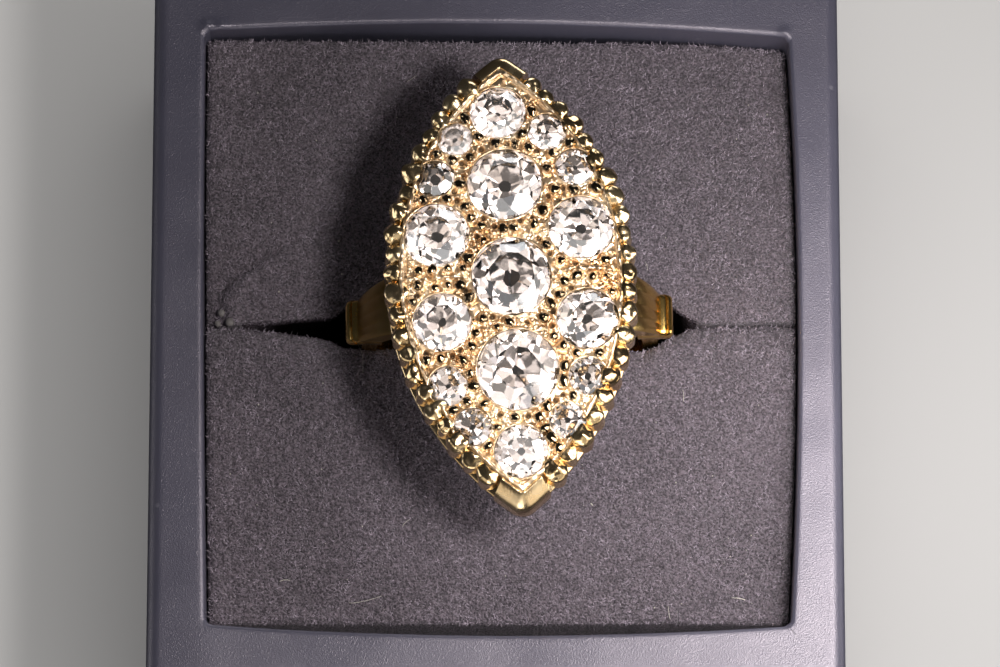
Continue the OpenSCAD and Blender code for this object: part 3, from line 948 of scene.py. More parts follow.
def makeShoulder(side):
    s = shoulder
    z = np.linspace(s["lowZ"], s["topZ"], 60)[:, None]
    across = np.linspace(-1, 1, 64)[None, :]
    wider, taller = s["topWide"] - s["lowWide"], s["topZ"] - s["lowZ"]
    half = (s["lowWide"] + wider * (z - s["lowZ"]) / taller) / 2
    outer = np.sqrt(np.maximum(s["outer"] ** 2 - (z - s["rise"]) ** 2, 0.01))
    ridge = np.abs(np.sin((across + 1) / 2 * math.pi * s["flutes"])) ** 0.7
    fade = smooth(0, 0.9, z - s["lowZ"])
    outer = outer - s["fluteDeep"] * (1 - ridge) * fade - 0.10 * np.abs(across) ** 8
    inner = np.sqrt(np.maximum(shank["inner"] ** 2 - z ** 2, 0.01)) * np.ones_like(across)
    inner = np.where(z > shank["inner"] - 0.05, 0.3, inner)
    y = across * half
    front = np.stack([side * outer, y, z * np.ones_like(across)], -1)
    back = np.stack([side * inner, y, z * np.ones_like(across)], -1)
    return loft(np.concatenate([front, back[:, ::-1]], 1))


def makeCollar(side):
    low, high, reach = collar["lowZ"], collar["lowZ"] + collar["high"], collar["reach"]
    half, inner = shoulder["lowWide"] / 2 + collar["wider"], shank["inner"] - 0.35
    corners = [(inner, low), (reach - 0.3, low), (reach - 0.08, low + 0.1), (reach, low + 0.35)]
    corners += [(reach - inwards, high - down) for inwards, down in collar["steps"]] + [(inner, high)]
    x, z = np.array(corners).T
    inset = [(-half + inwards, pull) for inwards, pull in collar["sides"]]
    inset += [(-y, pull) for y, pull in inset[::-1]]
    rings = []
    for y, pull in inset:
        xs = side * (x - pull * (x > shank["inner"]))
        zs = z + pull * np.where(z < (low + high) / 2, 1, -1)
        rings.append(np.column_stack([xs, np.full(len(x), y), zs]))
    return loft(np.array(rings))


shankFrame = Matrix.Translation((0, -shank["forward"], 0)) @ ringFrame
sideParts = [make(side) for make in (makeShoulder, makeCollar) for side in (-1, 1)]
shankParts = joined([makeShank()] + sideParts)
shankPiece = makePiece("shank_and_shoulders", shankParts, shankGold, shankFrame, sharp=35)
# painted shade on the metal under the head, and some on the left shoulder, which stands in shade
sx, sz = shankParts[0][:, 0], shankParts[0][:, 2]
leftShade = 0.45 * (sx < 0) * smooth(2.9, 3.4, sz)
storeMask(shankPiece, "painted_shade", np.maximum(smooth(7.6, 6.6, np.abs(sx)) * smooth(6.0, 8.0, sz), leftShade))
print("gold mount made")


# old hand-cut stones: planar facets cut one after another, each a little off its true place
cut = {
    "table": 0.5,           # shares of the half width
    "crown": 0.34,
    "girdle": 0.06,
    "pavilion": 0.73,
    "culet": 0.16,
    "culets": {"stone_04": 0.28, "stone_09": 0.13, "stone_01": 0.10},
    "cloudy": "stone_02",
    "seeds": {"stone_09": 61},
    "simpleBelow": 1.5,     # mm; smaller stones have fewer facets
    "turnOff": 3.0,         # degrees
    "slopeOff": 1.3,
    "reachOff": 0.015,
    "seed": 40,
    "warm": (0.985, 0.825, 0.755),
    "clear": (0.985, 0.875, 0.83),
}


def makeDiamondLook(name, rough):
    material, tree, bsdf = newMaterial(name)
    drift = placeGroup(tree, driftGroup, Scale=300, Contrast=1.0)
    specks = placeGroup(tree, speckGroup, Scale=3000, Cover=0.02)
    colour = mixColors(tree, drift.outputs["Factor"], cut["warm"], cut["clear"])
    haze = mathOut(tree, "MULTIPLY_ADD", specks.outputs["Mask"], 0.25, rough)
    feed(tree, bsdf.inputs["Base Color"], colour)
    feed(tree, bsdf.inputs["Roughness"], haze)
    bsdf.inputs["Metallic"].default_value = 0.0
    bsdf.inputs["Transmission Weight"].default_value = 1.0
    bsdf.inputs["IOR"].default_value = 2.417
    return material


def makeCuletShade():
    # the small flat at the bottom, painted near black for the dark hole in the mount seen through it
    material, tree, bsdf = newMaterial("culet")
    drift = placeGroup(tree, driftGroup, Scale=900, Contrast=1.5)
    colour = mixColors(tree, drift.outputs["Factor"], (0.008, 0.007, 0.006), (0.016, 0.014, 0.012))
    feed(tree, bsdf.inputs["Base Color"], colour)
    bsdf.inputs["Roughness"].default_value = 0.7
    return material


clearStone, cloudyStone = makeDiamondLook("diamond", 0.055), makeDiamondLook("diamond_cloudy", 0.16)
culetShade = makeCuletShade()


def facetPlanes(small, culet):
    # (how many, first turn, slope, reach, height, up or down); half width 1, the girdle's top at 0
    half, low = math.cos(math.radians(22.5)), -cut["girdle"]
    main = math.degrees(math.atan(cut["crown"] / (1 - cut["table"] / half)))
    pavilionMain = math.degrees(math.atan(cut["pavilion"] / (1 - culet * half)))
    table, point = (1, 0, 0, 0, cut["crown"], 1), (1, 0, 0, 0, low - cut["pavilion"], -1)
    crown, pavilion = (8, 0, main, 1, 0, 1), (8, 0, pavilionMain, 1, low, -1)
    if small:
        return [
            table, crown, (8, 22.5, 47.0, 1.01, 0, 1),
            pavilion, (8, 22.5, 48.0, 1.01, low, -1), point,
        ]
    return [
        table, crown, (8, 22.5, 25.6, cut["table"], cut["crown"], 1), (16, 11.25, 44.0, 0.981, 0, 1),
        pavilion, (16, 11.25, 45.7, 0.981, low, -1), point,
    ]


def roughStone(rng, sides):
    # a blank with a slightly uneven outline, before any facet is cut
    bm = bmesh.new()
    a = np.linspace(0, 2 * math.pi, sides, endpoint=False)
    outline = 1 + 0.010 * np.cos(2 * a + rng.uniform(0, 6))
    outline = outline + 0.012 * np.cos(3 * a + rng.uniform(0, 6)) - 0.012
    low = [bm.verts.new((w * math.cos(t), w * math.sin(t), -1.0)) for w, t in zip(outline, a)]
    high = [bm.verts.new((v.co.x, v.co.y, 0.5)) for v in low]
    bm.faces.new(low[::-1])
    bm.faces.new(high)
    for k in range(sides):
        after = (k + 1) % sides
        bm.faces.new((low[k], low[after], high[after], high[k]))
    return bm


def cutFacet(bm, point, normal):
    geometry = bm.verts[:] + bm.edges[:] + bm.faces[:]
    done = bmesh.ops.bisect_plane(bm, geom=geometry, plane_co=point, plane_no=normal, clear_outer=True)
    rim = [e for e in done["geom_cut"] if isinstance(e, bmesh.types.BMEdge)]
    if len(rim) > 2:
        bmesh.ops.contextual_create(bm, geom=rim)


def makeStone(number, s):
    rng = np.random.default_rng(cut["seeds"].get(s["name"], cut["seed"] + number))
    rough = roughStone(rng, 48)
    turn = math.radians(rng.uniform(0, 45))
    culet = cut["culets"].get(s["name"], cut["culet"])
    for count, first, slope, reach, height, up in facetPlanes(s["r"] < cut["simpleBelow"], culet):
        loose, slack = (1 if count > 1 else 0.4), (1 if up > 0 else 0.5)
        for k in range(count):
            about = first + 360 / count * k + loose * rng.normal() * cut["turnOff"]
            azimuth = turn + math.radians(about)
            steep = math.radians(slope + loose * rng.normal() * cut["slopeOff"] * slack)
            out = reach * (1 + rng.normal() * cut["reachOff"])
            direction = Vector((math.cos(azimuth), math.sin(azimuth), 0))
            normal = direction * math.sin(steep) + Vector((0, 0, up * math.cos(steep)))
            point = direction * out + Vector((0, 0, height * (1 + 0.02 * rng.normal())))
            cutFacet(rough, point, normal)
    bmesh.ops.remove_doubles(rough, verts=rough.verts, dist=0.004)
    # the facets' corners alone make the finished stone
    bm = bmesh.new()
    for v in rough.verts:
        bm.verts.new(v.co)
    rough.free()
    bmesh.ops.convex_hull(bm, input=bm.verts)
    bmesh.ops.dissolve_limit(bm, angle_limit=math.radians(0.4), verts=bm.verts, edges=bm.edges)
    bmesh.ops.recalc_face_normals(bm, faces=bm.faces)
    for face in bm.faces:
        # the culet takes the painted dark look
        face.material_index = int(face.normal.z < -0.99)    # the culet
    size = Matrix.Diagonal((s["halfW"], s["halfL"], s["r"], 1))
    where = onDome(s["x"], s["y"]) @ Matrix.Translation((0, 0, -s["girdle"]))
    bm.transform(Matrix.Scale(mm, 4) @ headFrame @ where @ size)
    name = "diamond_" + s["name"][-2:]
    mesh = bpy.data.meshes.new(name)
    bm.to_mesh(mesh)
    bm.free()
    mesh.materials.append(cloudyStone if s["name"] == cut["cloudy"] else clearStone)
    mesh.materials.append(culetShade)
    piece = addObject(name, mesh)
    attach(piece, "root")
    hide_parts(s["name"])
    return piece


stonePieces = [makeStone(number, s) for number, s in enumerate(stones)]
print("stones cut")


# the box: a shell covered in fine satin leatherette
shell = {
    "rimRound": 0.9,
    "lipRound": 0.28,
    "floor": 1.6,
    "cornerRound": 0.5,
    "leftOut": 0.15,        # the left side stands further out
    "uneven": 0.05,
    # small folds in the covering at the back corners: across, along, radius, height
    "folds": [(-19.1, 20.6, 0.32, 0.22), (-18.2, 20.55, 0.36, 0.20), (19.0, 20.1, 0.3, 0.12)],
}
# each wall's reach from the middle at its corners, its bow and its lean
opening = {
    "right": (19.10, 0.60, 0.12),
    "left": (19.07, 0.13, 0.22),
    "back": (20.04, 0.72, -0.22),
    "front": (19.70, 0.70, 0.06),
}
shellLow, shellHigh = [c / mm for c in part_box("box_shell")]
rimZ = shellHigh.z
boxW, boxD = (shellHigh - shellLow).x, (shellHigh - shellLow).y


def wallReach(wall, t):
    half, bow, lean = opening[wall]
    return half + bow * (1 - t * t) + lean * t


def alongWall(count):
    # places along a wall from -1 to 1, closer together towards its ends
    t = np.linspace(-1, 1, count, endpoint=False)
    return np.sign(t) * np.abs(t) ** 0.8


def openingLoop(out, count):
    # the opening's outline, moved outwards, with small round corners
    t = alongWall(count)
    ease = 0.35 * np.maximum(np.abs(t) - 0.985, 0) / 0.015
    ends = {w: (wallReach(w, -1) + out, wallReach(w, 1) + out) for w in opening}
    reach = {w: wallReach(w, -t if w in ("back", "left") else t) + out - ease for w in opening}

    def between(low, high):
        return (low + high) / 2 + (high - low) / 2 * t

    right = np.stack([reach["right"], between(-ends["front"][1], ends["back"][1])], 1)
    back = np.stack([between(ends["right"][1], -ends["left"][1]), reach["back"]], 1)
    left = np.stack([-reach["left"], between(ends["back"][0], -ends["front"][0])], 1)
    front = np.stack([between(-ends["left"][0], ends["right"][0]), -reach["front"]], 1)
    return np.vstack([right, back, left, front])


def outerLoop(inwards, count):
    w, d = boxW / 2 - inwards, boxD / 2 - inwards
    r = 0.3 * max(shell["cornerRound"] - inwards * 0.5, 0.05)
    t = alongWall(count)
    near = np.maximum(np.abs(t) - 0.98, 0) / 0.02
    right = np.stack([w - r * near ** 2, t * (d - r * near)], 1)
    back = np.stack([-t * (w - r * near), d - r * near ** 2], 1)
    loop = np.vstack([right, back, -right, -back])
    loop[:, 0] -= shell["leftOut"] * (loop[:, 0] < 0)
    return loop


def makeShell():
    count = 120
    lip, roll, low = shell["lipRound"], shell["rimRound"], shell["floor"]
    rings = []

    def addRing(loop, z):
        rings.append(np.column_stack([loop, np.full(len(loop), z)]))

    addRing(openingLoop(0, count) * 0.02, low)
    addRing(openingLoop(-0.05, count), low)
    for z in (low + 0.1, 8, 14, 18, 21, rimZ - 1.2, rimZ - 0.6):
        addRing(openingLoop(0, count), z)
    for a in np.linspace(0, math.pi / 2, 7):
        addRing(openingLoop(lip * (1 - math.cos(a)), count), rimZ - lip + lip * math.sin(a))
    inner, outer = openingLoop(lip, count), outerLoop(roll, count)
    for share in np.linspace(0.08, 1, 12):
        addRing(inner + (outer - inner) * share, rimZ)
    for a in np.linspace(0.16, math.pi / 2, 8):
        addRing(outerLoop(roll - roll * math.sin(a), count), rimZ - roll + roll * math.cos(a))
    for z in (20, 14, 8, 3, 0.25, 0.06):
        addRing(outerLoop(0.0 if z > 0.2 else 0.1, count), z)
    addRing(outerLoop(0.25, count), 0.0)
    addRing(outerLoop(0, count) * 0.02, 0.0)
    x, y, z = np.moveaxis(np.array(rings), -1, 0)
    # the covering lies a little unevenly
    top = smooth(rimZ - 1.5, rimZ - 0.2, z)
    z = z + shell["uneven"] * waves(x, y, 5.0, 31, 2) * top
    for bx, by, r, high in shell["folds"]:
        z += high * np.exp(-((x - bx) ** 2 + (y - by) ** 2) / r ** 2) * top
    return loft(np.stack([x, y, np.minimum(z, rimZ + 0.25)], -1))


leatherLook = {
    "dark": (0.063, 0.062, 0.092),
    "light": (0.094, 0.092, 0.128),
    "dust": (0.32, 0.31, 0.34),
    "rough": (0.34, 0.48),
    "gleam": (1.0, 0.91, 0.97, 1),
    "bump": 18e-6,
}


def makeLeatherette():
    look = leatherLook
    material, tree, bsdf = newMaterial("leatherette")
    drift = placeGroup(tree, driftGroup, Scale=150, Contrast=1.3)
    grain = placeGroup(tree, grainGroup, Scale=11500, Depth=1.0)
    specks = placeGroup(tree, speckGroup, Scale=1500, Cover=0.02)
    colour = mixColors(tree, drift.outputs["Factor"], look["dark"], look["light"])
    dusty = mathOut(tree, "MULTIPLY", specks.outputs["Mask"], 0.35)
    colour = mixColors(tree, dusty, colour, look["dust"])
    feed(tree, bsdf.inputs["Base Color"], colour)
    feed(tree, bsdf.inputs["Roughness"], mapped(tree, grain.outputs["Hollows"], to=look["rough"]))
    bsdf.inputs["IOR"].default_value = 1.62
    bsdf.inputs["Specular IOR Level"].default_value = 1.0
    bsdf.inputs["Specular Tint"].default_value = look["gleam"]
    bumped(tree, bsdf, grain.outputs["Height"], look["bump"])
    return material


shellPiece = makePiece("leatherette_shell", makeShell(), makeLeatherette(), sharp=50)
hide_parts("box_shell")
print("shell made")


# the two suede pads, with their edges rolled into the slot
pads = {
    "clear": 0.09,          # to the walls
    "farBack": 20.2,        # the outer edges are straight while the walls bow
    "farFront": 19.05,
    "slotY": 0.65,
    "halfW": 19,            # roughly, for shares along the walls
    "halfD": 20,
    "crownDrop": 1.5,
    # 1 is the back pad and -1 the front pad
    "edgeDrop": {1: 2.3, -1: 3.2},
    "sideFall": {1: 0.6, -1: 0.0},      # how much lower at the right end than in the middle
    "slotRoll": {1: 0.5, -1: 0.9},
    "edgeRoll": 0.6,
    "belly": 0.25,
    # the slot's two lips, across and along; they part round the ring
    "slotX": (-19, -17, -14.6, -13.1, -11.8, -10.7, -10.1, 9.9, 10.9, 11.4, 12.3, 13.2, 14.2, 19),
    "backLip": (0.74, 0.70, 0.72, 0.92, 0.98, 1.02, 1.72, 1.72, 2.1, 1.9, 1.2, 0.86, 0.80, 0.82),
    "frontLip": (0.62, 0.58, 0.46, 0.22, 0.00, -0.25, -0.70, -0.92, -0.3, 0.05, 0.45, 0.66, 0.70, 0.72),
    "step": 0.13,
    "napHigh": 0.07,
    "crownEase": (0.45, 4.5),   # how much further, and how far out, the crown falls to the slot
    "bottom": 1.75,
    # the back pad's left corner is pressed down beside a crease
    "creaseAt": -17.4,
    "creaseBow": (0.55, 2.2, 1.6),      # how fast it bends, from where along, and its power
    "creaseHigh": 0.14,
    "pressed": 0.9,
}


def slotEdge(x, side):
    lip = pads["backLip" if side > 0 else "frontLip"]
    near = (np.interp(x + shift, pads["slotX"], lip) for shift in (-0.3, 0, 0.3))
    return sum(near) / 3


def rollDrop(distance, r):
    d = np.clip(distance, 0, r)
    return r - np.sqrt(np.maximum(r * r - (r - d) ** 2, 0))


def padReach(x, y, side):
    # inner distances to the pad's left, right and far edges
    across, along = y / pads["halfD"], x / pads["halfW"]
    left = x + wallReach("left", across) - pads["clear"]
    right = wallReach("right", across) - pads["clear"] - x
    wall, straight = ("back", "farBack") if side > 0 else ("front", "farFront")
    far = np.minimum(wallReach(wall, along) - pads["clear"], pads[straight])
    return left, right, far - side * y


def creased(x, y):
    factor, start, power = pads["creaseBow"]
    inside = pads["creaseAt"] + factor * np.maximum(y - start, 0) ** power - x
    ridge = pads["creaseHigh"] * np.exp(-((inside + 0.3) / 0.35) ** 2) * smooth(5.5, 3.0, y)
    return inside, ridge


def padSurface(s, t, side):
    # s runs across and t from the slot to the far edge, both 0 to 1
    x, y = (2 * s - 1) * pads["halfW"], side * pads["halfD"] * t
    for again in range(3):
        left, right, far = padReach(x, y, side)
        x = x - left + s * (left + right)
        near = slotEdge(x, side)
        left, right, far = padReach(x, y, side)
        y = near + t * (y + side * far - near)
    left, right, far = padReach(x, y, side)
    fromSlot, fromWall = np.abs(y - near), np.maximum(far, 0)
    fromSide = np.maximum(np.minimum(left, right), 0)
    slotRoll, edgeRoll = pads["slotRoll"][side], pads["edgeRoll"]
    share = np.clip((fromSlot - slotRoll) / (fromSlot + fromWall - slotRoll - edgeRoll), 0, 1)
    edgeDrop = pads["edgeDrop"][side] + pads["sideFall"][side] * x / pads["halfW"]
    z = rimZ - pads["crownDrop"] - (edgeDrop - pads["crownDrop"]) * share
    z = z + pads["belly"] * np.sin(math.pi * share) * np.sin(math.pi * s) - rollDrop(fromSlot, slotRoll)
    z -= pads["crownEase"][0] * np.clip(1 - fromSlot / pads["crownEase"][1], 0, 1) ** 2
    z -= rollDrop(fromWall, edgeRoll) + rollDrop(fromSide, edgeRoll)
    z += 0.10 * waves(x, y, 7.0, 50 + side, 2)
    if side > 0:
        inside, ridge = creased(x, y)
        z -= pads["pressed"] * smooth(0, 1.3, inside) * smooth(6.5, 3.4, y)
        z += ridge
    return x, y, z


def softened(n, ends):
    u = np.linspace(0, 1, n)
    return u * (1 - ends) + ends * (0.5 - 0.5 * np.cos(math.pi * u))


def slotDepth(x, y, z, side):
    # 1 down in the slot, where hardly any light comes
    gape = smooth(-17.5, -14.0, x) * smooth(13.4, 12.0, x)
    return gape * smooth(0.35, 0.0, np.abs(y - slotEdge(x, side))) * smooth(rimZ - 1.9, rimZ - 2.4, z)


def rimOf(grid):
    return np.concatenate([grid[0], grid[1:, -1], grid[-1, -2::-1], grid[-2:0:-1, 0]])


def makePad(side):
    cols, rows = int(38.5 / pads["step"]), int(19.8 / pads["step"])
    s, t = np.meshgrid(softened(cols, 0.3), softened(rows, 0.3))
    x, y, z = padSurface(s, t, side)
    pile = np.abs(waves(x, y, 0.34, 60 + side, 2))
    top = np.stack([x, y, z + pads["napHigh"] * (1.2 - 2.4 * pile)], -1)
    base = rimOf(top)
    base[:, 2] = pads["bottom"]
    points = np.vstack([top.reshape(-1, 3), base, base.mean(0)])
    rimIds = rimOf(np.arange(rows * cols).reshape(rows, cols))
    baseIds = rows * cols + np.arange(len(base))
    skirt = np.stack([rimIds, baseIds, np.roll(baseIds, -1), np.roll(rimIds, -1)], 1)
    faces = [gridFaces(rows, cols), skirt, capFaces(baseIds, len(points) - 1)]
    return (points, faces), slotDepth(*points.T, side)


suedeLook = {
    "deep": (0.050, 0.040, 0.049),
    "mid": (0.278, 0.227, 0.268),
    "slotShade": (0.006, 0.005, 0.005),
    "bump": 100e-6,
}


def makeSuede(name, gloss, sheen):
    material, tree, bsdf = newMaterial(name)
    drift = placeGroup(tree, driftGroup, Scale=180, Contrast=1.6)
    mottle = placeGroup(tree, driftGroup, Scale=6800, Contrast=4.5).outputs["Factor"]
    grain = placeGroup(tree, grainGroup, Scale=6000, Depth=1.0)
    shade = mathOut(tree, "MULTIPLY_ADD", mottle, 0.85, -0.05, clamp=True)
    shade = mathOut(tree, "MULTIPLY_ADD", drift.outputs["Factor"], 0.3, shade, clamp=True)
    colour = mixColors(tree, shade, suedeLook["deep"], suedeLook["mid"])
    # painted shade: near black down in the slot
    colour = mixColors(tree, storedMask(tree, "depth"), colour, suedeLook["slotShade"])
    feed(tree, bsdf.inputs["Base Color"], colour)
    bsdf.inputs["Roughness"].default_value = 0.95
    bsdf.inputs["Specular IOR Level"].default_value = gloss
    bsdf.inputs["Sheen Weight"].default_value = sheen
    bsdf.inputs["Sheen Roughness"].default_value = 0.5
    bumped(tree, bsdf, mathOut(tree, "ADD", grain.outputs["Height"], mottle), suedeLook["bump"])
    return material


def makeFibreLook(name, dark, light):
    material, tree, bsdf = newMaterial(name)
    drift = placeGroup(tree, driftGroup, Scale=260, Contrast=1.5)
    own = storedMask(tree, "shade")
    shade = mathOut(tree, "MULTIPLY_ADD", drift.outputs["Factor"], 0.25, own, clamp=True)
    feed(tree, bsdf.inputs["Base Color"], mixColors(tree, shade, dark, light))
    bsdf.inputs["Roughness"].default_value = 0.6
    bsdf.inputs["Sheen Weight"].default_value = 0.2
    return material


nap = {
    "count": 44000,         # fibres on each pad
    "long": (0.10, 0.30),
    "wide": 0.048,
    "taper": 0.75,
    "lean": (10, 60),       # degrees over the surface
    "curl": 0.7,
    "droop": 0.28,          # radians from joint to joint
    "joints": 2,
    "fringe": 0.03,         # share that stands denser along the edges
    "dark": (0.045, 0.036, 0.044),
    "light": (0.58, 0.49, 0.58),
    "seed": 90,
}


def makeFibres(x, y, z, rng):
    # each fibre is a thin tapering strip that curls as it goes
    n, joints = len(x), nap["joints"]
    heading = rng.uniform(0, 2 * math.pi, n)
    rise = np.radians(rng.uniform(*nap["lean"], n))
    bend = rng.normal(0, nap["curl"], n)
    step = rng.uniform(*nap["long"], n) / joints
    rows = []
    for k in range(joints + 1):
        w = nap["wide"] * (1 - nap["taper"] * k / joints) / 2
        sx, sy = -np.sin(heading), np.cos(heading)
        rows.append(np.stack([x + sx * w, y + sy * w, z + 0.3 * w], 1))
        rows.append(np.stack([x - sx * w, y - sy * w, z - 0.3 * w], 1))
        x, y = x + np.cos(heading) * np.cos(rise) * step, y + np.sin(heading) * np.cos(rise) * step
        z = z + np.sin(rise) * step
        heading, rise = heading + bend * 0.6, rise - nap["droop"]
    points = np.stack(rows, 1).reshape(-1, 3)
    per = 2 * (joints + 1)
    strip = np.array([[2 * k, 2 * k + 1, 2 * k + 3, 2 * k + 2] for k in range(joints)])
    faces = (np.arange(n)[:, None, None] * per + strip[None]).reshape(-1, 4)
    return (points, [faces]), per


def makeNap(side, name):
    rng = np.random.default_rng(nap["seed"] + side)
    n = nap["count"]
    s, t = rng.random(n), rng.random(n)
    edgy = rng.random(n) < nap["fringe"]
    t = np.where(edgy & (rng.random(n) < 0.5), np.abs(rng.normal(0, 0.015, n)), t)
    t = np.where(edgy & (t > 0.02), 1 - np.abs(rng.normal(0, 0.01, n)), t)
    x, y, z = padSurface(np.clip(s, 0.004, 0.996), np.clip(t, 0.006, 0.994), side)
    seen = slotDepth(x, y, z, side) < 0.4
    x, y, z = x[seen], y[seen], z[seen]
    part, per = makeFibres(x, y, z + 0.01, rng)
    piece = makePiece(name, part, fibreLook, facing=False)
    clump = 0.40 + 0.30 * waves(x, y, 0.4, 70 + side, 2)
    storeMask(piece, "shade", np.repeat(clump - 0.1 + rng.normal(0, 0.30, len(x)), per))
    return piece


def darkenSlot(piece, depth):
    # painted shade: the faces down in the slot take a copy of the suede without sheen or gloss, which
    # stays dark
    mesh = piece.data
    mesh.materials.append(shadedSuede)
    ids = np.empty(len(mesh.loops), np.int32)
    mesh.loops.foreach_get("vertex_index", ids)
    starts = np.empty(len(mesh.polygons), np.int32)
    mesh.polygons.foreach_get("loop_start", starts)
    deepest = np.maximum.reduceat(depth[ids], starts)
    mesh.polygons.foreach_set("material_index", (deepest > 0.15).astype(np.int32))


suede, shadedSuede = makeSuede("suede", 0.5, 0.25), makeSuede("suede_shaded_in_slot", 0.0, 0.0)
fibreLook = makeFibreLook("suede_fibres", nap["dark"], nap["light"])
for side, word in ((1, "back"), (-1, "front")):
    padPart, padDepth = makePad(side)
    padPiece = makePiece("suede_pad_" + word, padPart, suede, sharp=70)
    storeMask(padPiece, "depth", padDepth)
    darkenSlot(padPiece, padDepth)
    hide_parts("pad_" + word)
    makeNap(side, "suede_nap_" + word)
print("pads made")


# loose lint: a few pale hairs and specks lying on the suede
lint = {
    # where each hair starts, its heading, length and thickness
    "hairs": [(16.2, -17.5, 178, 0.9, 0.035), (11.3, -18.8, 120, 0.9, 0.022), (9.7, 4.9, -50, 0.6, 0.02),
              (-6.2, -12.8, 70, 0.7, 0.018), (-9.8, -17.6, -25, 2.2, 0.022),
              (-14.2, -16.3, 20, 0.7, 0.03), (-9.6, 0.9, -60, 3.4, 0.012),
              (12.2, -4.6, 100, 0.8, 0.02), (-6.0, 17.2, 40, 0.8, 0.02)],
    "joints": 14,
    # balls of pilled suede at the crease: across, along, radius
    "balls": [(-18.05, 1.55, 0.28), (-17.5, 0.88, 0.32), (-18.3, 0.95, 0.26)],
    "specks": 110,
    "dark": (0.14, 0.125, 0.13),
    "light": (0.8, 0.75, 0.66),
    "seed": 5,
}


def padTop(x, y):
    x, y = np.array(x), np.array(y)
    side = 1 if y > slotEdge(x, 1) - 0.2 else -1
    left, right, far = padReach(x, y, side)
    near = slotEdge(x, side)
    s, t = left / (left + right), (y - near) / (y + side * far - near)
    return float(padSurface(np.array([s]), np.clip(np.array([t]), 0, 1), side)[2][0])


def makeHair(x, y, turn, long, thick, rng):
    count = lint["joints"]
    heading = math.radians(turn) + np.cumsum(rng.normal(0, 0.10, count))
    step = long / (count - 1)
    px = x + np.cumsum(np.cos(heading)) * step
    py = y + np.cumsum(np.sin(heading)) * step
    rings = []
    for k in range(count):
        z = padTop(px[k], py[k]) + 0.12 + 0.10 * math.sin(3.1 * k / count)
        r = thick * (1 - 0.5 * k / count)
        across = [(r * math.cos(a), r * math.sin(a)) for a in (0.5, 2.6, 4.7)]
        sin, cos = math.sin(heading[k]), math.cos(heading[k])
        rings.append([(px[k] - sin * u, py[k] + cos * u, z + v) for u, v in across])
    return loft(np.array(rings))


def makeLint():
    rng = np.random.default_rng(lint["seed"])
    parts = [makeHair(*hair, rng) for hair in lint["hairs"]]
    shades = [np.full(len(part[0]), 0.9) for part in parts]
    spots = list(lint["balls"])
    for k in range(lint["specks"]):
        spots.append((rng.uniform(-18, 18), rng.uniform(-18.5, 19), rng.uniform(0.02, 0.06)))
    for x, y, r in spots:
        ball = r > 0.1
        if not ball and abs(y - pads["slotY"]) < 1.5:
            continue
        part = turned([(r * math.cos(a), r * math.sin(a) * 0.8) for a in (-1.2, -0.6, 0, 0.6, 1.2)], 7)
        parts.append(moved(part, Matrix.Translation((x, y, padTop(x, y) + 0.10))))
        shades.append(np.full(len(part[0]), 0.0 if ball else 0.6))
    look = makeFibreLook("pale_lint", lint["dark"], lint["light"])
    piece = makePiece("lint", joined(parts), look)
    storeMask(piece, "shade", np.concatenate(shades))
    return piece


makeLint()
print("lint strewn")


# floor and soft studio lights
floorMesh = bpy.data.meshes.new("floor")
floorMesh.from_pydata([(-2, -2, 0), (2, -2, 0), (2, 2, 0), (-2, 2, 0)], [], [(0, 1, 2, 3)])
floor = addObject("floor", floorMesh)
floorLook, floorBsdf = newMaterial("pale_floor")[::2]
floorBsdf.inputs["Base Color"].default_value = (0.62, 0.61, 0.60, 1)
floorBsdf.inputs["Roughness"].default_value = 0.8
floorMesh.materials.append(floorLook)
floor.visible_glossy = False    # the photo's surroundings are dark, so the gold mirrors no pale floor


def makeLight(name, at, aim, size, power, colour):
    lamp = bpy.data.lights.new(name, "AREA")
    lamp.size = size * mm
    lamp.energy = power
    lamp.color = colour
    light = addObject(name, lamp)
    light.location = Vector(at) * mm
    light.rotation_euler = (Vector(aim) * mm - light.location).to_track_quat("-Z", "Y").to_euler()
    light.visible_camera = False
    return light


def newGroupOf(name, things):
    group = bpy.data.collections.new(name)
    for thing in things:
        group.objects.link(thing)
    return group


# where each stands, what it aims at, its size in mm, its power in watts and its colour
lights = {
    "key": ((44.6, -23.9, 163.9), (0.8, 0.6, 24), 21, 0.103, (1.0, 0.97, 0.95)),
    "close": ((26, -13.5, 52), (0.8, 0.6, 24), 28, 0.0125, (1.0, 0.97, 0.96)),
    "left": ((-260, -40, 30), (0, 0, 14), 120, 0.10, (0.95, 0.97, 1.0)),
    "right": ((260, -60, 34), (0, 0, 14), 120, 0.18, (1.0, 0.98, 0.96)),
    "front": ((-40, -280, 36), (0, 0, 14), 120, 0.16, (1.0, 0.98, 0.96)),
    "back": ((60, 280, 36), (0, 0, 14), 120, 0.16, (0.95, 0.97, 1.0)),
}
for lightName, info in lights.items():
    makeLight(lightName, *info)

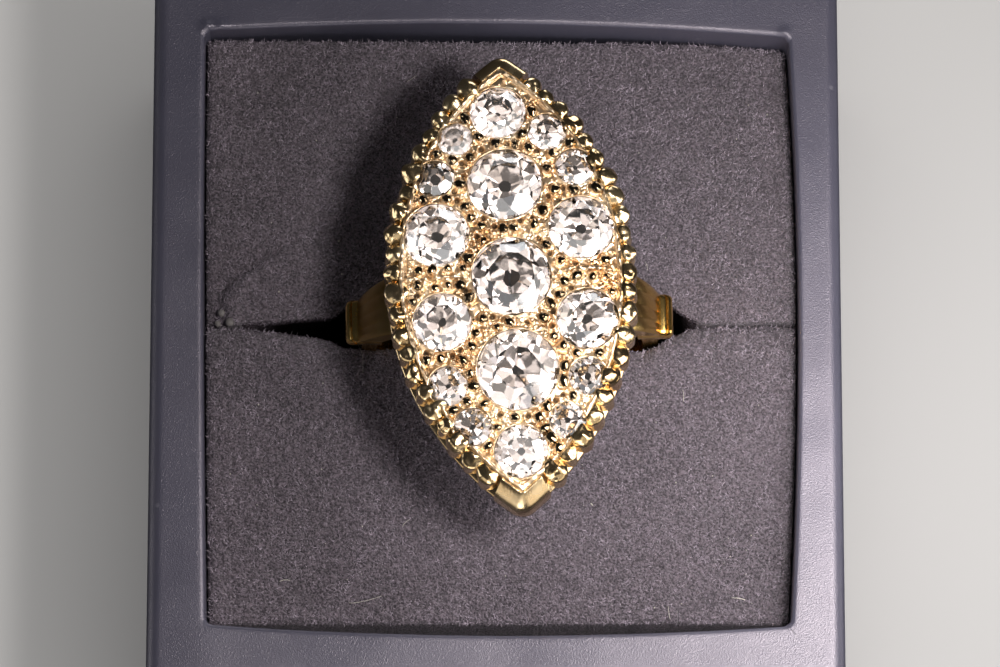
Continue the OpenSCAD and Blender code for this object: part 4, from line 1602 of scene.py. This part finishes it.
# large soft panels that light the stones alone, so that their facets sparkle: heading and height
# in degrees, size in mm, brightness and tint
stonePanels = {
    "panel_right": (-5, 38, 122, 1.6, (1.0, 0.98, 0.95)),
    "panel_front_right": (-50, 36, 122, 1.4, (1.0, 0.98, 0.96)),
    "panel_front": (-95, 30, 122, 1.1, (0.97, 0.97, 1.0)),
    "panel_front_left": (-140, 36, 122, 0.8, (1.0, 0.94, 0.86)),
    "panel_left": (175, 40, 122, 0.6, (0.95, 0.95, 1.0)),
    "panel_back_left": (130, 34, 122, 0.9, (1.0, 0.93, 0.83)),
    "panel_back": (85, 32, 122, 0.8, (0.98, 0.96, 0.98)),
    "panel_back_right": (40, 36, 122, 1.2, (1.0, 0.95, 0.88)),
    "panel_high_right": (2, 62, 76, 1.3, (1.0, 0.98, 0.95)),
    "panel_high_front_right": (-45, 60, 76, 1.1, (0.98, 0.97, 1.0)),
    "panel_high_front": (-95, 55, 76, 0.9, (1.0, 0.96, 0.90)),
    "panel_high_front_left": (-140, 60, 76, 0.7, (0.96, 0.96, 1.0)),
    "panel_high_left": (178, 62, 76, 0.7, (1.0, 0.94, 0.87)),
    "panel_high_back_right": (42, 58, 50, 0.9, (1.0, 0.95, 0.88)),
    "panel_high_back_left": (134, 58, 50, 0.7, (1.0, 0.94, 0.87)),
    "panel_by_lens_right": (-55, 73, 34, 1.1, (1.0, 0.98, 0.95)),
    "panel_by_lens_left": (-125, 73, 34, 0.8, (1.0, 0.98, 0.95)),
    "panel_at_lens": (-90, 77, 30, 0.9, (1.0, 0.97, 0.95)),
}
panelsFar = 150
headTop = Vector((0, 0, 34))
stoneGroup = newGroupOf("stones_only", stonePieces)
for lightName, (heading, height, size, bright, tint) in stonePanels.items():
    heading, height = math.radians(heading), math.radians(height)
    flat = math.cos(height)
    spot = Vector((flat * math.cos(heading), flat * math.sin(heading), math.sin(height))) * panelsFar
    power = bright * math.pi * (size * mm) ** 2
    panel = makeLight(lightName, spot + headTop, headTop, size, power, tint)
    panel.light_linking.receiver_collection = stoneGroup

# fills and a spark, each for the pieces named last alone
platePieces = ("engraved_plate", "burnished_edges")
stoneNames = tuple(piece.name for piece in stonePieces)
fills = {
    "fill_stones": ((0, 100, 630), (0, 0, 34), 900, 0.45, (1, 0.94, 0.89), stoneNames),
    "fill_plate": ((-20, -60, 230), (0, 0, 34), 290, 0.27, (1, 0.89, 0.76), platePieces),
    "spark_plate": ((60, -34, 112), (0, 0, 34), 50, 0.013, (1, 0.97, 0.93), platePieces),
    "fill_border": ((18, -138, 96), (0, -8, 34), 90, 0.014, (1, 0.93, 0.80), ("knob_border",)),
    "fill_tip_right": ((103, -119, 50), (1, -14, 32), 84, 0.024, (1, 0.92, 0.82), ("knob_border",)),
    "fill_tip_left": ((-103, -119, 50), (-1, -14, 32), 84, 0.020, (1, 0.94, 0.85), ("knob_border",)),
    "fill_rim": ((34, 3, 58), (20, -2, 24), 24, 0.0032, (1, 0.96, 0.98), ("leatherette_shell",)),
    "fill_floor": ((0, 0, 900), (0, 0, 0), 900, 5.0, (1, 0.99, 0.98), ("floor",)),
}
for lightName, (*info, targets) in fills.items():
    group = newGroupOf(lightName + "_for", [bpy.data.objects[target] for target in targets])
    makeLight(lightName, *info).light_linking.receiver_collection = group

# the low lights leave out the floor, and all but the right one the shank, whose left side is in shade
for lightName in ("left", "front", "back", "right"):
    things = [floor] if lightName == "right" else [shankPiece, floor]
    group = newGroupOf(lightName + "_leaves_out", things)
    for entry in group.collection_objects:
        entry.light_linking.link_state = "EXCLUDE"
    bpy.data.objects[lightName].light_linking.receiver_collection = group
world = bpy.data.worlds.new("studio")
bpy.context.scene.world = world
world.use_nodes = True
sky = world.node_tree.nodes["Background"]
sky.inputs["Color"].default_value = (0.95, 0.97, 1.0, 1)
sky.inputs["Strength"].default_value = 0.025
bpy.context.scene.view_settings.view_transform = "Standard"
print("lights set")
